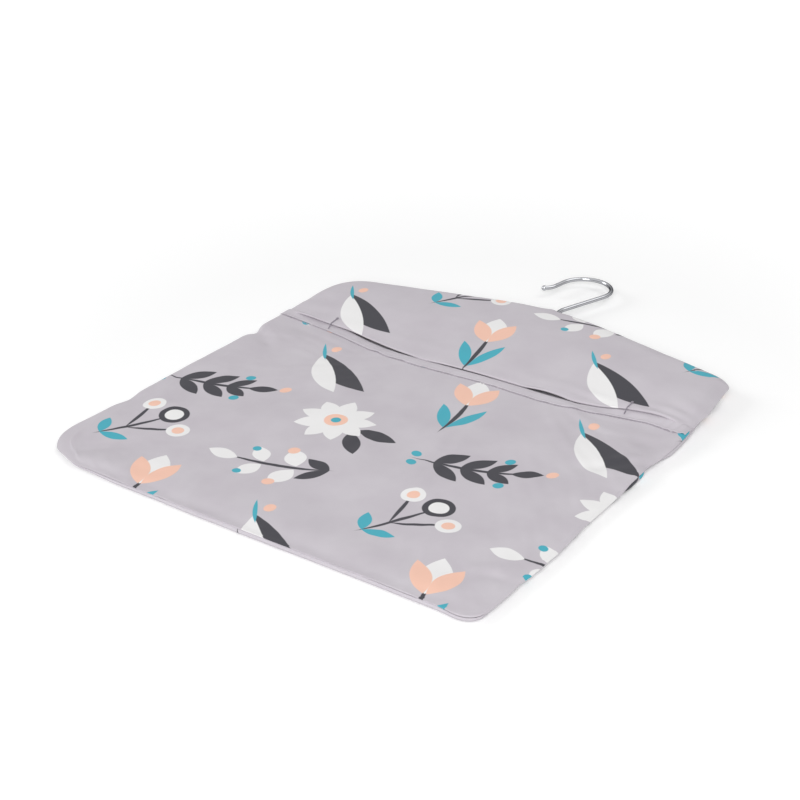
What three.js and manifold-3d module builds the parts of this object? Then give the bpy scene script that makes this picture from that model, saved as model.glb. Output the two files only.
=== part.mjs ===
// A peg bag lying on its back: a flat cotton bag with a bound mouth across its front, carried by a
// shaped wooden hanger inside its yoke, which has a swivelling wire hook.
// Millimetres. X runs across the bag, Y from its bottom seam to its hook, Z up through its thickness.

import * as THREE from 'three';
import { mergeVertices } from 'three/addons/utils/BufferGeometryUtils.js';
import Module from 'manifold-3d';

const wasm = await Module();
wasm.setup();

// Bag outline, measured along its seam
const BAG_WIDTH = 370; // across the pocket
const SHOULDER_WIDTH = 362; // across the yoke, just under its top corners
const PEAK_HEIGHT = 404; // bottom seam to the top seam at the hook
const SHOULDER_SLOPE = 14.7; // degrees that the top seam falls from the hook to each shoulder
const PEAK_ROUND = 190; // radius of the top seam at the hook
const SHOULDER_ROUND = 20; // radius of the top corners
const BOTTOM_ROUND = 26; // radius of the bottom corners

// Cloth and seams
const CLOTH = 0.8; // thickness of the cotton
const CLEARANCE = 0.3; // left between pieces that touch
const EDGE_ROLL = 10; // how far in from the seam the cloth has turned level
const POCKET_DEPTH = 6; // clear space between the front and the back below the mouth
const SEAM_INSET = 2.5; // seam line to the edges turned inside
const SEAM_ALLOWANCE = 6; // width of the edges turned inside

// Mouth
const MOUTH_HEIGHT = 279; // bottom seam to the yoke's folded edge
const MOUTH_MARGIN = 52; // side seam to the end of the mouth, where a bartack lies
const MOUTH_GAPE = 6; // how far the bound edge drops from the yoke along the mouth
const MOUTH_EVENNESS = 4; // the power that keeps the gape even and closes it near the bartacks
const BINDING_WIDTH = 11; // of the strip folded over the pocket's edge
const BINDING_INSET = 5; // side seam to the end of the binding and of the yoke's hem
const YOKE_HEM = 12; // width of the yoke's edge folded inside
const BARTACK_LENGTH = 14;
const BARTACK_LAP = 3; // length of a bartack that lies on the yoke
const BARTACK_WIDTH = 2;
const BARTACK_HEIGHT = 0.8;

// Hanger
const HANGER_THICKNESS = 12;
const HANGER_CENTRE_DEPTH = 34; // top edge to lower edge at the hook
const HANGER_TIP_DEPTH = 24; // the same at the tips
const HANGER_EDGE_ROUND = 5; // radius of its long edges
const HANGER_TIP_ROUND = 10; // radius of its lower corners
const HANGER_END_GAP = 6; // from its tips to the turned edges of the side seams
const HANGER_TRAVEL = 15; // how far it can drop inside the yoke

// Hook
const HOOK_WIRE = 3.5; // diameter of the wire
const HOOK_RISE = 65; // top seam to the centre of the hook's bend
const HOOK_RADIUS = 22.5; // of the bend, to the middle of the wire
const HOOK_OFFSET = 7; // how far the centre of the bend lies to the left of the stem
const HOOK_LEAN = 18; // degrees that the wire leans to the right below the bend
const HOOK_NECK_RADIUS = 12; // where the stem turns into that lean
const HOOK_BEND_END = 172; // degrees round from +X where the bend stops
const HOOK_TAIL = 12; // straight wire after the bend
const HOOK_FLARE_RADIUS = 13; // of the outward turn before the tip
const HOOK_FLARE = 42; // degrees of that turn
const HOOK_TIP = 4.6; // diameter of the rounded tip
const HOOK_HOLE = 5.5; // diameter of the gap in the top seam that the stem comes out of
const ANCHOR_DEPTH = 24; // hanger's top edge to the washer's seat in the recess below
const WASHER_DIAMETER = 7.5;
const WASHER_THICKNESS = 1;
const HEAD_DIAMETER = 5.6; // of the stem's riveted end
const HEAD_HEIGHT = 2;

// Facets
const ROUND_SIDES = 16; // sides of round bores, washers and heads
const WIRE_SIDES = 12;
const WIRE_STEPS = 68; // rings along the hook
const ARC_STEPS = 6; // chords in a corner's quarter turn
const SECTION_CORNER = 3; // chords in a rounded corner of the hanger's section
const CLOTH_SPANS = 6; // columns between a bottom corner and the middle of the bag
const BACK_ROWS = 12;
const POCKET_ROWS = 7;
const YOKE_ROWS = 8;
const BINDING_SPANS = 14; // along the mouth
const SIDE_SPANS = 10; // along a side seam

const { lerp, degToRad, smoothstep } = THREE.MathUtils;
const slope = degToRad(SHOULDER_SLOPE);
const lean = degToRad(HOOK_LEAN);
const layer = CLEARANCE + CLOTH; // what one more layer of cloth adds

const pocketHeight = 2 * CLOTH + POCKET_DEPTH;
const yokeHeight = 2 * layer + HANGER_THICKNESS;
const mouthWidth = BAG_WIDTH - 2 * MOUTH_MARGIN;
const hangerInset = SEAM_INSET + SEAM_ALLOWANCE + CLEARANCE;
const hangerReach = SHOULDER_WIDTH / 2 - hangerInset - HANGER_END_GAP;
const hangerLevel = layer + HANGER_THICKNESS / 2;
const overallLength = PEAK_HEIGHT + HOOK_RISE + HOOK_RADIUS + HOOK_WIRE / 2;

const materials = {
  cotton: new THREE.MeshStandardMaterial({ color: 0xc3bdc4, roughness: 0.95, metalness: 0 }),
  thread: new THREE.MeshStandardMaterial({ color: 0xa59fa8, roughness: 0.9, metalness: 0 }),
  beech: new THREE.MeshStandardMaterial({ color: 0xd2ad7c, roughness: 0.5, metalness: 0 }),
  chrome: new THREE.MeshStandardMaterial({ color: 0xc9cacc, roughness: 0.15, metalness: 1 }),
  zinc: new THREE.MeshStandardMaterial({ color: 0xb4b6b8, roughness: 0.4, metalness: 1 }),
};

// A geometry with nothing but merged corners, facing outwards.
function closedGeometry(positions, triangles) {
  const corner = (index) => new THREE.Vector3().fromArray(positions, 3 * index);
  let volume = 0;
  for (let i = 0; i < triangles.length; i += 3) {
    const [a, b, c] = [0, 1, 2].map((k) => corner(triangles[i + k]));
    volume += a.dot(b.cross(c));
  }
  const geometry = new THREE.BufferGeometry();
  geometry.setAttribute('position', new THREE.Float32BufferAttribute(positions, 3));
  geometry.setIndex(volume < 0 ? triangles.toReversed() : triangles);
  return mergeVertices(geometry, 1e-4);
}

// A closed body through rings of points that follow one another. The section is the ring's own flat
// outline, which tells how to close its two ends.
function loft(rings, section) {
  if (THREE.ShapeUtils.isClockWise(section)) {
    return loft(rings.map((ring) => ring.toReversed()), section.toReversed());
  }
  const count = section.length;
  const positions = rings.flat().flatMap((point) => point.toArray());
  const triangles = [];
  for (let i = 0; i + 1 < rings.length; i++) {
    for (let j = 0; j < count; j++) {
      const a = i * count + j;
      const b = i * count + ((j + 1) % count);
      triangles.push(a, b, b + count, a, b + count, a + count);
    }
  }
  const last = (rings.length - 1) * count;
  for (const [a, b, c] of THREE.ShapeUtils.triangulateShape(section, [])) {
    triangles.push(c, b, a, last + a, last + b, last + c);
  }
  return closedGeometry(positions, triangles);
}

function solidOf(geometry) {
  const bare = geometry.clone();
  bare.deleteAttribute('normal');
  bare.deleteAttribute('uv');
  const merged = mergeVertices(bare, 1e-4);
  return new wasm.Manifold(new wasm.Mesh({
    numProp: 3,
    vertProperties: new Float32Array(merged.attributes.position.array),
    triVerts: new Uint32Array(merged.index.array),
  }));
}

function geometryOf(solid) {
  const { vertProperties, triVerts } = solid.getMesh();
  const geometry = new THREE.BufferGeometry();
  geometry.setAttribute('position', new THREE.BufferAttribute(vertProperties, 3));
  geometry.setIndex(new THREE.BufferAttribute(triVerts, 1));
  return geometry;
}

// A cylinder along Y, from one height to another, on the line of the hook's stem.
function stemCylinder(diameter, from, to) {
  const geometry = new THREE.CylinderGeometry(diameter / 2, diameter / 2, to - from, ROUND_SIDES);
  return geometry.translate(0, (from + to) / 2, 0);
}

// Outline of the bag

const bottomCentre = new THREE.Vector2(BAG_WIDTH / 2 - BOTTOM_ROUND, BOTTOM_ROUND);
const peakCentre = new THREE.Vector2(0, PEAK_HEIGHT - PEAK_ROUND);
const shoulderX = SHOULDER_WIDTH / 2 - SHOULDER_ROUND;
const shoulderCentre = new THREE.Vector2(
  shoulderX,
  peakCentre.y + (PEAK_ROUND - SHOULDER_ROUND) / Math.cos(slope) - shoulderX * Math.tan(slope),
);

// Height of a round corner's arc above or below its centre.
function arcHeight(radius, across) {
  return Math.sqrt(Math.max(0, radius ** 2 - across ** 2));
}

// The sloping top, moved inwards by inset, as it would run on past the shoulders.
function slopeTop(x, inset) {
  const radius = PEAK_ROUND - inset;
  if (Math.abs(x) < radius * Math.sin(slope)) {
    return peakCentre.y + arcHeight(radius, x);
  }
  return peakCentre.y + radius / Math.cos(slope) - Math.abs(x) * Math.tan(slope);
}

// The top seam, moved inwards by inset, with its round shoulders.
function topEdge(x, inset) {
  const radius = SHOULDER_ROUND - inset;
  const past = Math.abs(x) - shoulderCentre.x;
  if (past < radius * Math.sin(slope)) {
    return slopeTop(x, inset);
  }
  return shoulderCentre.y + arcHeight(radius, past);
}

function bottomEdge(x) {
  const past = Math.abs(x) - bottomCentre.x;
  return past > 0 ? bottomCentre.y - arcHeight(BOTTOM_ROUND, past) : 0;
}

// Half the bag's width at a height.
function halfWidth(y) {
  const along = smoothstep(y, MOUTH_HEIGHT, shoulderCentre.y);
  return lerp(BAG_WIDTH / 2, SHOULDER_WIDTH / 2, along);
}

// Across is from -1 at the left side seam to 1 at the right one.
const topAt = (across) => topEdge((across * SHOULDER_WIDTH) / 2, 0);
const bottomAt = (across) => bottomEdge((across * BAG_WIDTH) / 2);

// How far the bound edge of the pocket drops below the yoke's edge.
function mouthDrop(across) {
  const share = Math.abs(across * BAG_WIDTH) / mouthWidth;
  return share < 1 ? MOUTH_GAPE * (1 - share ** MOUTH_EVENNESS) : 0;
}

const bindingTop = (across) => MOUTH_HEIGHT - CLEARANCE - mouthDrop(across);
const pocketTop = (across) => bindingTop(across) - layer;

// Heights of the cloth above the table

// The hanger's lower edge.
function hangerLow(x) {
  const share = Math.abs(x) / hangerReach;
  const depth = lerp(HANGER_CENTRE_DEPTH, HANGER_TIP_DEPTH, share);
  const past = Math.max(0, Math.abs(x) - (hangerReach - HANGER_TIP_ROUND));
  const corner = HANGER_TIP_ROUND - arcHeight(HANGER_TIP_ROUND, past);
  return slopeTop(x, hangerInset) - depth + corner;
}

// From 0 at the mouth to 1 where the yoke has risen to clear the hanger at the end of its travel.
// The hanger's arms slope, so the yoke rises over a longer way in the middle than at the sides.
function yokeRise(x, y) {
  const under = Math.min(Math.abs(x), hangerReach - HANGER_TIP_ROUND);
  return smoothstep(y, MOUTH_HEIGHT, hangerLow(under) - HANGER_TRAVEL);
}

function seamHeight(x, y) {
  return lerp(pocketHeight, yokeHeight, yokeRise(x, y)) / 2;
}

// From 0 on a seam to 1 where the cloth has turned level, as a quarter of an ellipse.
function rollOver(distance) {
  const left = 1 - Math.min(Math.max(distance, 0) / EDGE_ROLL, 1);
  return Math.sqrt(1 - left * left);
}

function edgeShape(across, y) {
  const side = rollOver(halfWidth(y) * (1 - Math.abs(across)));
  const bottom = rollOver(y - bottomAt(across));
  const top = rollOver((topAt(across) - y) * Math.cos(slope));
  return side * bottom * top;
}

// Overlap is how much higher a panel lies at the mouth for the layers under it.
function frontPoint(across, y, overlap) {
  const x = across * halfWidth(y);
  const rise = yokeRise(x, y);
  const rim = seamHeight(x, y) + CLEARANCE / 2;
  const level = lerp(pocketHeight + overlap, yokeHeight, rise);
  return new THREE.Vector3(x, y, lerp(rim, level, edgeShape(across, y)));
}

const pocketPoint = (across, y) => frontPoint(across, y, 0);
const yokePoint = (across, y) => frontPoint(across, y, layer);

function backPoint(across, y) {
  const x = across * halfWidth(y);
  const rim = seamHeight(x, y) - CLEARANCE / 2;
  return new THREE.Vector3(x, y, lerp(rim, 0, edgeShape(across, y)));
}

// A point above a panel's outer face, along the face's normal.
function above(surface, across, y, height) {
  const step = 0.05;
  const reach = step / (BAG_WIDTH / 2);
  const along = surface(across + reach, y).sub(surface(across - reach, y));
  const up = surface(across, y + step).sub(surface(across, y - step));
  return surface(across, y).addScaledVector(along.cross(up).normalize(), height);
}

// Cloth panels

// Steps from a seam inwards, close together where the cloth turns over.
const rollSteps = [0, 0.06, 0.22, 0.5, 0.9, 1.4].map((share) => share * EDGE_ROLL);

function evenly(from, to, spans) {
  return Array.from({ length: spans + 1 }, (_, i) => lerp(from, to, i / spans));
}

function clothColumns() {
  const half = BAG_WIDTH / 2;
  const rolled = rollSteps.at(-1);
  const corner = Math.max(BOTTOM_ROUND, 2 * EDGE_ROLL);
  const steps = [...rollSteps, (rolled + corner) / 2, ...evenly(corner, half, CLOTH_SPANS)];
  const left = steps.map((step) => step / half - 1);
  return [...left, ...left.slice(0, -1).map((across) => -across).reverse()];
}

// The heights of a column's points: close steps at an end that is a seam, even ones between.
function columnHeights(low, high, lowSeam, highSeam, rows) {
  const start = lowSeam ? rollSteps.map((step) => low + step) : [low];
  const end = highSeam ? rollSteps.map((step) => high - step).reverse() : [high];
  const between = evenly(start.at(-1), end[0], rows).slice(1, -1);
  return [...start, ...between, ...end];
}

// A panel of cloth: its outer face, its inner face one thickness in, and the rim that joins them.
// On a seam the rim is level, so that the front and the back meet face to face there.
function panel({ surface, low, high, lowSeam, highSeam, rows, outward }) {
  const columns = clothColumns();
  const heights = columns.map((a) => columnHeights(low(a), high(a), lowSeam, highSeam, rows));
  const outer = columns.map((a, i) => heights[i].map((y) => surface(a, y)));
  const wide = columns.length;
  const tall = heights[0].length;
  const inner = outer.map((column, i) => column.map((point, j) => {
    const right = outer[Math.min(i + 1, wide - 1)][j];
    const left = outer[Math.max(i - 1, 0)][j];
    const upper = column[Math.min(j + 1, tall - 1)];
    const lower = column[Math.max(j - 1, 0)];
    const normal = right.clone().sub(left).cross(upper.clone().sub(lower));
    const onSeam = edgeShape(columns[i], heights[i][j]) === 0;
    if (onSeam) {
      normal.z = 0;
    }
    return point.clone().addScaledVector(normal.normalize(), -outward * CLOTH);
  }));
  const positions = [...outer.flat(), ...inner.flat()].flatMap((point) => point.toArray());
  const under = wide * tall;
  const at = (i, j) => i * tall + j;
  const triangles = [];
  const quad = (a, b, c, d) => triangles.push(a, b, c, a, c, d);
  for (let i = 0; i + 1 < wide; i++) {
    for (let j = 0; j + 1 < tall; j++) {
      const [a, b, c, d] = [at(i, j), at(i + 1, j), at(i + 1, j + 1), at(i, j + 1)];
      quad(a, b, c, d);
      quad(under + d, under + c, under + b, under + a);
    }
  }
  const rim = [];
  for (let i = 0; i < wide; i++) rim.push(at(i, 0));
  for (let j = 1; j < tall; j++) rim.push(at(wide - 1, j));
  for (let i = wide - 2; i >= 0; i--) rim.push(at(i, tall - 1));
  for (let j = tall - 2; j > 0; j--) rim.push(at(0, j));
  rim.forEach((a, i) => {
    const b = rim[(i + 1) % rim.length];
    quad(b, a, under + a, under + b);
  });
  return closedGeometry(positions, triangles);
}

// A panel with the gap that the hook's stem comes out of.
function panelWithHookHole(geometry) {
  const hole = stemCylinder(HOOK_HOLE, topEdge(0, hangerInset), PEAK_HEIGHT + EDGE_ROLL);
  return geometryOf(solidOf(geometry).subtract(solidOf(hole.translate(0, 0, hangerLevel))));
}

function backPanel() {
  return panelWithHookHole(panel({
    surface: backPoint,
    low: bottomAt,
    high: topAt,
    lowSeam: true,
    highSeam: true,
    rows: BACK_ROWS,
    outward: -1,
  }));
}

function frontPanel() {
  return panel({
    surface: pocketPoint,
    low: bottomAt,
    high: pocketTop,
    lowSeam: true,
    highSeam: false,
    rows: POCKET_ROWS,
    outward: 1,
  });
}

function frontYoke() {
  return panelWithHookHole(panel({
    surface: yokePoint,
    low: () => MOUTH_HEIGHT,
    high: topAt,
    lowSeam: false,
    highSeam: true,
    rows: YOKE_ROWS,
    outward: 1,
  }));
}

// Strips at the mouth

const stripEnd = 1 - BINDING_INSET / (BAG_WIDTH / 2);

function stripColumns() {
  const mouthEnd = mouthWidth / BAG_WIDTH;
  const rolled = 1 - EDGE_ROLL / (BAG_WIDTH / 2);
  const right = [rolled, stripEnd];
  return [...right.map((a) => -a).reverse(), ...evenly(-mouthEnd, mouthEnd, BINDING_SPANS), ...right];
}

// The strip folded over the pocket's top edge: a channel that opens downwards.
function mouthBinding() {
  const fold = BINDING_WIDTH;
  const section = [
    [0, layer],
    [fold, layer],
    [fold, -CLOTH - layer],
    [0, -CLOTH - layer],
    [0, -CLOTH - CLEARANCE],
    [fold - CLOTH, -CLOTH - CLEARANCE],
    [fold - CLOTH, CLEARANCE],
    [0, CLEARANCE],
  ].map(([up, out]) => new THREE.Vector2(up, out));
  const rings = stripColumns().map((across) => section.map(({ x: up, y: out }) => {
    const y = bindingTop(across) - BINDING_WIDTH + up;
    return above(pocketPoint, across, y, out);
  }));
  return loft(rings, section);
}

// The yoke's lower edge, folded inside.
function yokeHem() {
  const section = [
    [0, -CLOTH - CLEARANCE],
    [YOKE_HEM, -CLOTH - CLEARANCE],
    [YOKE_HEM, -CLOTH - layer],
    [0, -CLOTH - layer],
  ].map(([up, out]) => new THREE.Vector2(up, out));
  const rings = stripColumns().map((across) => section.map(({ x: up, y: out }) => (
    above(yokePoint, across, MOUTH_HEIGHT + CLEARANCE + up, out)
  )));
  return loft(rings, section);
}

// The bar of stitches that closes one end of the mouth, lying on the binding and on the yoke's edge.
function bartack(sideways) {
  const across = (sideways * (mouthWidth + BARTACK_WIDTH)) / BAG_WIDTH;
  const half = BARTACK_WIDTH / BAG_WIDTH;
  const section = [
    [-half, CLEARANCE],
    [half, CLEARANCE],
    [half / 2, CLEARANCE + BARTACK_HEIGHT],
    [-half / 2, CLEARANCE + BARTACK_HEIGHT],
  ].map(([along, out]) => new THREE.Vector2(along, out));
  const high = MOUTH_HEIGHT + BARTACK_LAP;
  const rings = evenly(high - BARTACK_LENGTH, high, ARC_STEPS).map((y) => section.map(({ x, y: out }) => (
    above(yokePoint, across + x, y, out)
  )));
  return loft(rings, section);
}

// Edges turned inside along the seams

const stripSection = [[1, 0], [1, 1], [0, 1], [0, 0]].map(([x, y]) => new THREE.Vector2(x, y));

// A doubled edge of cloth between two insets of the seam line.
function seamStrip(run) {
  const edges = [SEAM_INSET, SEAM_INSET + SEAM_ALLOWANCE].map(run);
  const rings = edges[0].map((outside, i) => {
    const ends = [edges[1][i], outside];
    return stripSection.map(({ x, y }) => {
      const point = ends[x];
      return new THREE.Vector3(point.x, point.y, seamHeight(point.x, point.y) + (2 * y - 1) * CLOTH);
    });
  });
  return loft(rings, stripSection);
}

function arcPoints(centre, radius, from, to, sideways = 1) {
  return evenly(from, to, ARC_STEPS).map((angle) => new THREE.Vector2(
    sideways * (centre.x + radius * Math.cos(angle)),
    centre.y + radius * Math.sin(angle),
  ));
}

function bottomSeam() {
  return seamStrip((inset) => {
    const radius = BOTTOM_ROUND - inset;
    return [
      ...arcPoints(bottomCentre, radius, 0, -Math.PI / 2, -1),
      ...arcPoints(bottomCentre, radius, -Math.PI / 2, 0),
    ];
  });
}

function sideSeam(sideways) {
  const heights = evenly(bottomCentre.y + CLEARANCE, shoulderCentre.y - CLEARANCE, SIDE_SPANS);
  return seamStrip((inset) => heights.map((y) => (
    new THREE.Vector2(sideways * (halfWidth(y) - inset), y)
  )));
}

function topSeam(sideways) {
  const sloping = Math.PI / 2 - slope;
  return seamStrip((inset) => {
    const peakRadius = PEAK_ROUND - inset;
    const besideHook = Math.acos((HOOK_HOLE / 2 + CLEARANCE) / peakRadius);
    return [
      ...arcPoints(shoulderCentre, SHOULDER_ROUND - inset, 0, sloping, sideways),
      ...arcPoints(peakCentre, peakRadius, sloping, besideHook, sideways),
    ];
  });
}

// Hanger and hook

const hangerTop = topEdge(0, hangerInset);
const anchorSeat = hangerTop - ANCHOR_DEPTH;
const washerLow = anchorSeat - CLEARANCE - WASHER_THICKNESS;
const headTop = washerLow - CLEARANCE;
const boreDiameter = HOOK_WIRE + 2 * CLEARANCE;

// A rectangle with round corners, as the hanger's section in Y and Z about its own middle.
function hangerSection(halfDepth, halfThickness) {
  const radius = Math.min(HANGER_EDGE_ROUND, halfDepth, halfThickness);
  const quarters = [[1, 1], [-1, 1], [-1, -1], [1, -1]];
  return quarters.flatMap(([up, out], quarter) => (
    evenly(0, Math.PI / 2, SECTION_CORNER).map((turn) => {
      const angle = (quarter * Math.PI) / 2 + turn;
      return new THREE.Vector2(
        up * (halfDepth - radius) + radius * Math.cos(angle),
        out * (halfThickness - radius) + radius * Math.sin(angle),
      );
    })
  ));
}

function hangerStations() {
  const ends = [0, 0.1, 0.4, 1, 2].map((share) => share * HANGER_EDGE_ROUND);
  const right = [...evenly(0, hangerReach - 2 * HANGER_TIP_ROUND, CLOTH_SPANS)];
  right.push(...ends.map((end) => hangerReach - end).reverse());
  return [...right.slice(1).map((x) => -x).reverse(), ...right];
}

function hangerBar() {
  const half = HANGER_THICKNESS / 2;
  const rings = hangerStations().map((x) => {
    const high = topEdge(x, hangerInset);
    const low = hangerLow(x);
    const rounded = Math.max(0, Math.abs(x) - (hangerReach - HANGER_EDGE_ROUND));
    const thickness = half - HANGER_EDGE_ROUND + arcHeight(HANGER_EDGE_ROUND, rounded);
    return hangerSection((high - low) / 2, thickness).map((point) => (
      new THREE.Vector3(x, (high + low) / 2 + point.x, hangerLevel + point.y)
    ));
  });
  const bar = solidOf(loft(rings, hangerSection(HANGER_TIP_DEPTH / 2, half)));
  const bore = stemCylinder(boreDiameter, anchorSeat - CLEARANCE, PEAK_HEIGHT);
  const recess = stemCylinder(WASHER_DIAMETER + 2 * CLEARANCE, anchorSeat - HANGER_CENTRE_DEPTH, anchorSeat);
  const cut = solidOf(bore).add(solidOf(recess)).translate(0, 0, hangerLevel);
  return geometryOf(bar.subtract(cut));
}

// The middle line of the hook's wire, flat in X and Y, from its riveted end to its tip.
function hookLine() {
  const bendCentre = new THREE.Vector2(-HOOK_OFFSET, PEAK_HEIGHT + HOOK_RISE);
  const turned = HOOK_NECK_RADIUS + HOOK_RADIUS;
  const leaningRun = (HOOK_RADIUS - HOOK_OFFSET - turned * (1 - Math.cos(lean))) / Math.sin(lean);
  const neckTop = bendCentre.y - turned * Math.sin(lean) - leaningRun * Math.cos(lean);
  const bendEnd = degToRad(HOOK_BEND_END);
  const flare = degToRad(HOOK_FLARE);
  const outward = new THREE.Vector2(Math.cos(bendEnd), Math.sin(bendEnd));
  const forward = new THREE.Vector2(-outward.y, outward.x);
  const flareCentre = bendCentre.clone()
    .addScaledVector(outward, HOOK_RADIUS + HOOK_FLARE_RADIUS)
    .addScaledVector(forward, HOOK_TAIL);
  const flareStart = bendEnd + Math.PI;
  return new THREE.Path()
    .moveTo(0, headTop - HEAD_HEIGHT)
    .lineTo(0, neckTop)
    .absarc(HOOK_NECK_RADIUS, neckTop, HOOK_NECK_RADIUS, Math.PI, Math.PI - lean, true)
    .absarc(bendCentre.x, bendCentre.y, HOOK_RADIUS, -lean, bendEnd, false)
    .absarc(flareCentre.x, flareCentre.y, HOOK_FLARE_RADIUS, flareStart, flareStart - flare, true);
}

class WirePath extends THREE.Curve {
  constructor(line) {
    super();
    this.line = line;
  }

  getPoint(share, target = new THREE.Vector3()) {
    const point = this.line.getPoint(share);
    return target.set(point.x, point.y, 0);
  }
}

function hook(line) {
  const section = new THREE.Shape().absarc(0, 0, HOOK_WIRE / 2, 0, 2 * Math.PI);
  const wire = new THREE.ExtrudeGeometry(section, {
    steps: WIRE_STEPS,
    curveSegments: WIRE_SIDES / 2,
    extrudePath: new WirePath(line),
  });
  const end = line.getPoint(1);
  const tip = new THREE.SphereGeometry(HOOK_TIP / 2, WIRE_SIDES, WIRE_SIDES / 2).translate(end.x, end.y, 0);
  const head = stemCylinder(HEAD_DIAMETER, headTop - HEAD_HEIGHT, headTop);
  return geometryOf(solidOf(wire).add(solidOf(tip)).add(solidOf(head)));
}

function hookWasher() {
  const inner = boreDiameter / 2;
  const outer = WASHER_DIAMETER / 2;
  const high = washerLow + WASHER_THICKNESS;
  const profile = [[inner, washerLow], [outer, washerLow], [outer, high], [inner, high], [inner, washerLow]];
  return new THREE.LatheGeometry(profile.map(([x, y]) => new THREE.Vector2(x, y)), ROUND_SIDES);
}

// Assembly

function mesh(name, geometry, material) {
  const piece = new THREE.Mesh(geometry, material);
  piece.name = name;
  return piece;
}

const bag = new THREE.Group();
bag.add(
  mesh('back_panel', backPanel(), materials.cotton),
  mesh('front_panel', frontPanel(), materials.cotton),
  mesh('front_yoke', frontYoke(), materials.cotton),
  mesh('mouth_binding', mouthBinding(), materials.cotton),
  mesh('yoke_hem', yokeHem(), materials.cotton),
  mesh('bartack_left', bartack(-1), materials.thread),
  mesh('bartack_right', bartack(1), materials.thread),
  mesh('seam_bottom', bottomSeam(), materials.cotton),
  mesh('seam_left', sideSeam(-1), materials.cotton),
  mesh('seam_right', sideSeam(1), materials.cotton),
  mesh('seam_top_left', topSeam(-1), materials.cotton),
  mesh('seam_top_right', topSeam(1), materials.cotton),
  mesh('hanger_bar', hangerBar(), materials.beech),
);

// The hook lies level, in the middle of the hanger's thickness.
const swivel = new THREE.Group();
swivel.position.z = hangerLevel;
swivel.add(
  mesh('hook', hook(hookLine()), materials.chrome),
  mesh('hook_washer', hookWasher(), materials.zinc),
);

// The origin is under the middle of the whole part.
const pegBag = new THREE.Group();
bag.add(swivel);
bag.position.y = -overallLength / 2;
pegBag.add(bag);

export default pegBag;
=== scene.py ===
"""The looks of a printed cotton peg bag that lies on a white table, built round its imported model.

The frame is in metres: X runs across the bag, Y from its bottom seam to its hook, and Z up from the table.
"""

import bisect
import logging
import math
from abc import ABC, abstractmethod
from collections.abc import Callable, Sequence
from dataclasses import dataclass, field
from enum import Enum
from itertools import pairwise
from typing import Any, ClassVar

import bmesh
import bpy
from mathutils import Matrix, Vector, noise
from mathutils.bvhtree import BVHTree


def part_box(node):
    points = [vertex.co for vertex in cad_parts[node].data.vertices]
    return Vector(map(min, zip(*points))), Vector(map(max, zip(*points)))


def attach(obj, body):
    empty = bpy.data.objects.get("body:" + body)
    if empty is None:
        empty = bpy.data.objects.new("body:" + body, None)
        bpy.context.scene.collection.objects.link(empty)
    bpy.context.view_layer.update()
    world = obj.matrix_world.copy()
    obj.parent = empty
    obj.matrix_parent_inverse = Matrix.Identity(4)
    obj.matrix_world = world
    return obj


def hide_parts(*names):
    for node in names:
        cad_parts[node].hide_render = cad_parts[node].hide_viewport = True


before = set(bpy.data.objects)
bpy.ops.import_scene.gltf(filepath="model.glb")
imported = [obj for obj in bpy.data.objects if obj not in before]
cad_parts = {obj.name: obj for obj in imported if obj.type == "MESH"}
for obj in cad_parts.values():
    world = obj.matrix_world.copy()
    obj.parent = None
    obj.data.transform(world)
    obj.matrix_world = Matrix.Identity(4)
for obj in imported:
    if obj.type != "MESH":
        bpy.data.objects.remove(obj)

LOG = logging.getLogger("peg_bag")
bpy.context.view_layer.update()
MM = 0.001
UP = Vector((0, 0, 1))
CLOTH = 0.8 * MM  # thickness of the cotton
CLOTH_PLACE = "cloth"  # attribute with a point's place on the flat cloth, in metres
WAVE_LENGTH = math.tau / 20  # length after which a wave texture at scale 1 repeats


def mix(low: float, high: float, share: float) -> float:
    """The value that lies a share of the way from low to high."""
    return low + (high - low) * share


def smooth(value: float, start: float, end: float) -> float:
    """An eased step from 0 at start to 1 at end."""
    share = min(max((value - start) / (end - start), 0.0), 1.0)
    return share * share * (3 - 2 * share)


def linear(code: str) -> tuple[float, float, float, float]:
    """Turns an sRGB hex value into a linear colour.

    Args:
        code: the colour, such as "#C4BFC5"

    Returns:
        red, green, blue and alpha, as a shader's socket takes them
    """
    parts = [int(code[i : i + 2], 16) / 255 for i in (1, 3, 5)]
    red, green, blue = (p / 12.92 if p <= 0.04045 else ((p + 0.055) / 1.055) ** 2.4 for p in parts)
    return red, green, blue, 1.0


def add_node(
    tree: bpy.types.NodeTree,
    kind: str,
    settings: dict[str, Any] | None = None,
    inputs: dict[str | int, Any] | None = None,
) -> bpy.types.Node:
    """Adds one node with its settings and links.

    Args:
        tree: the node tree that gets it
        kind: the node's type
        settings: the node's own properties
        inputs: for each input, the output that is linked to it or the value that is set on it

    Returns:
        the new node
    """
    node = tree.nodes.new(kind)
    for name, value in (settings or {}).items():
        setattr(node, name, value)
    for key, value in (inputs or {}).items():
        if isinstance(value, bpy.types.NodeSocket):
            tree.links.new(value, node.inputs[key])
        else:
            node.inputs[key].default_value = value
    return node


def calculate(tree: bpy.types.NodeTree, operation: str, *values: Any) -> bpy.types.NodeSocket:
    """Adds a sum.

    Args:
        tree: the node tree that gets it
        operation: what it works out
        values: its inputs in their order, each an output or a number

    Returns:
        the output with the result
    """
    return add_node(tree, "ShaderNodeMath", {"operation": operation}, dict(enumerate(values))).outputs[0]


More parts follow.
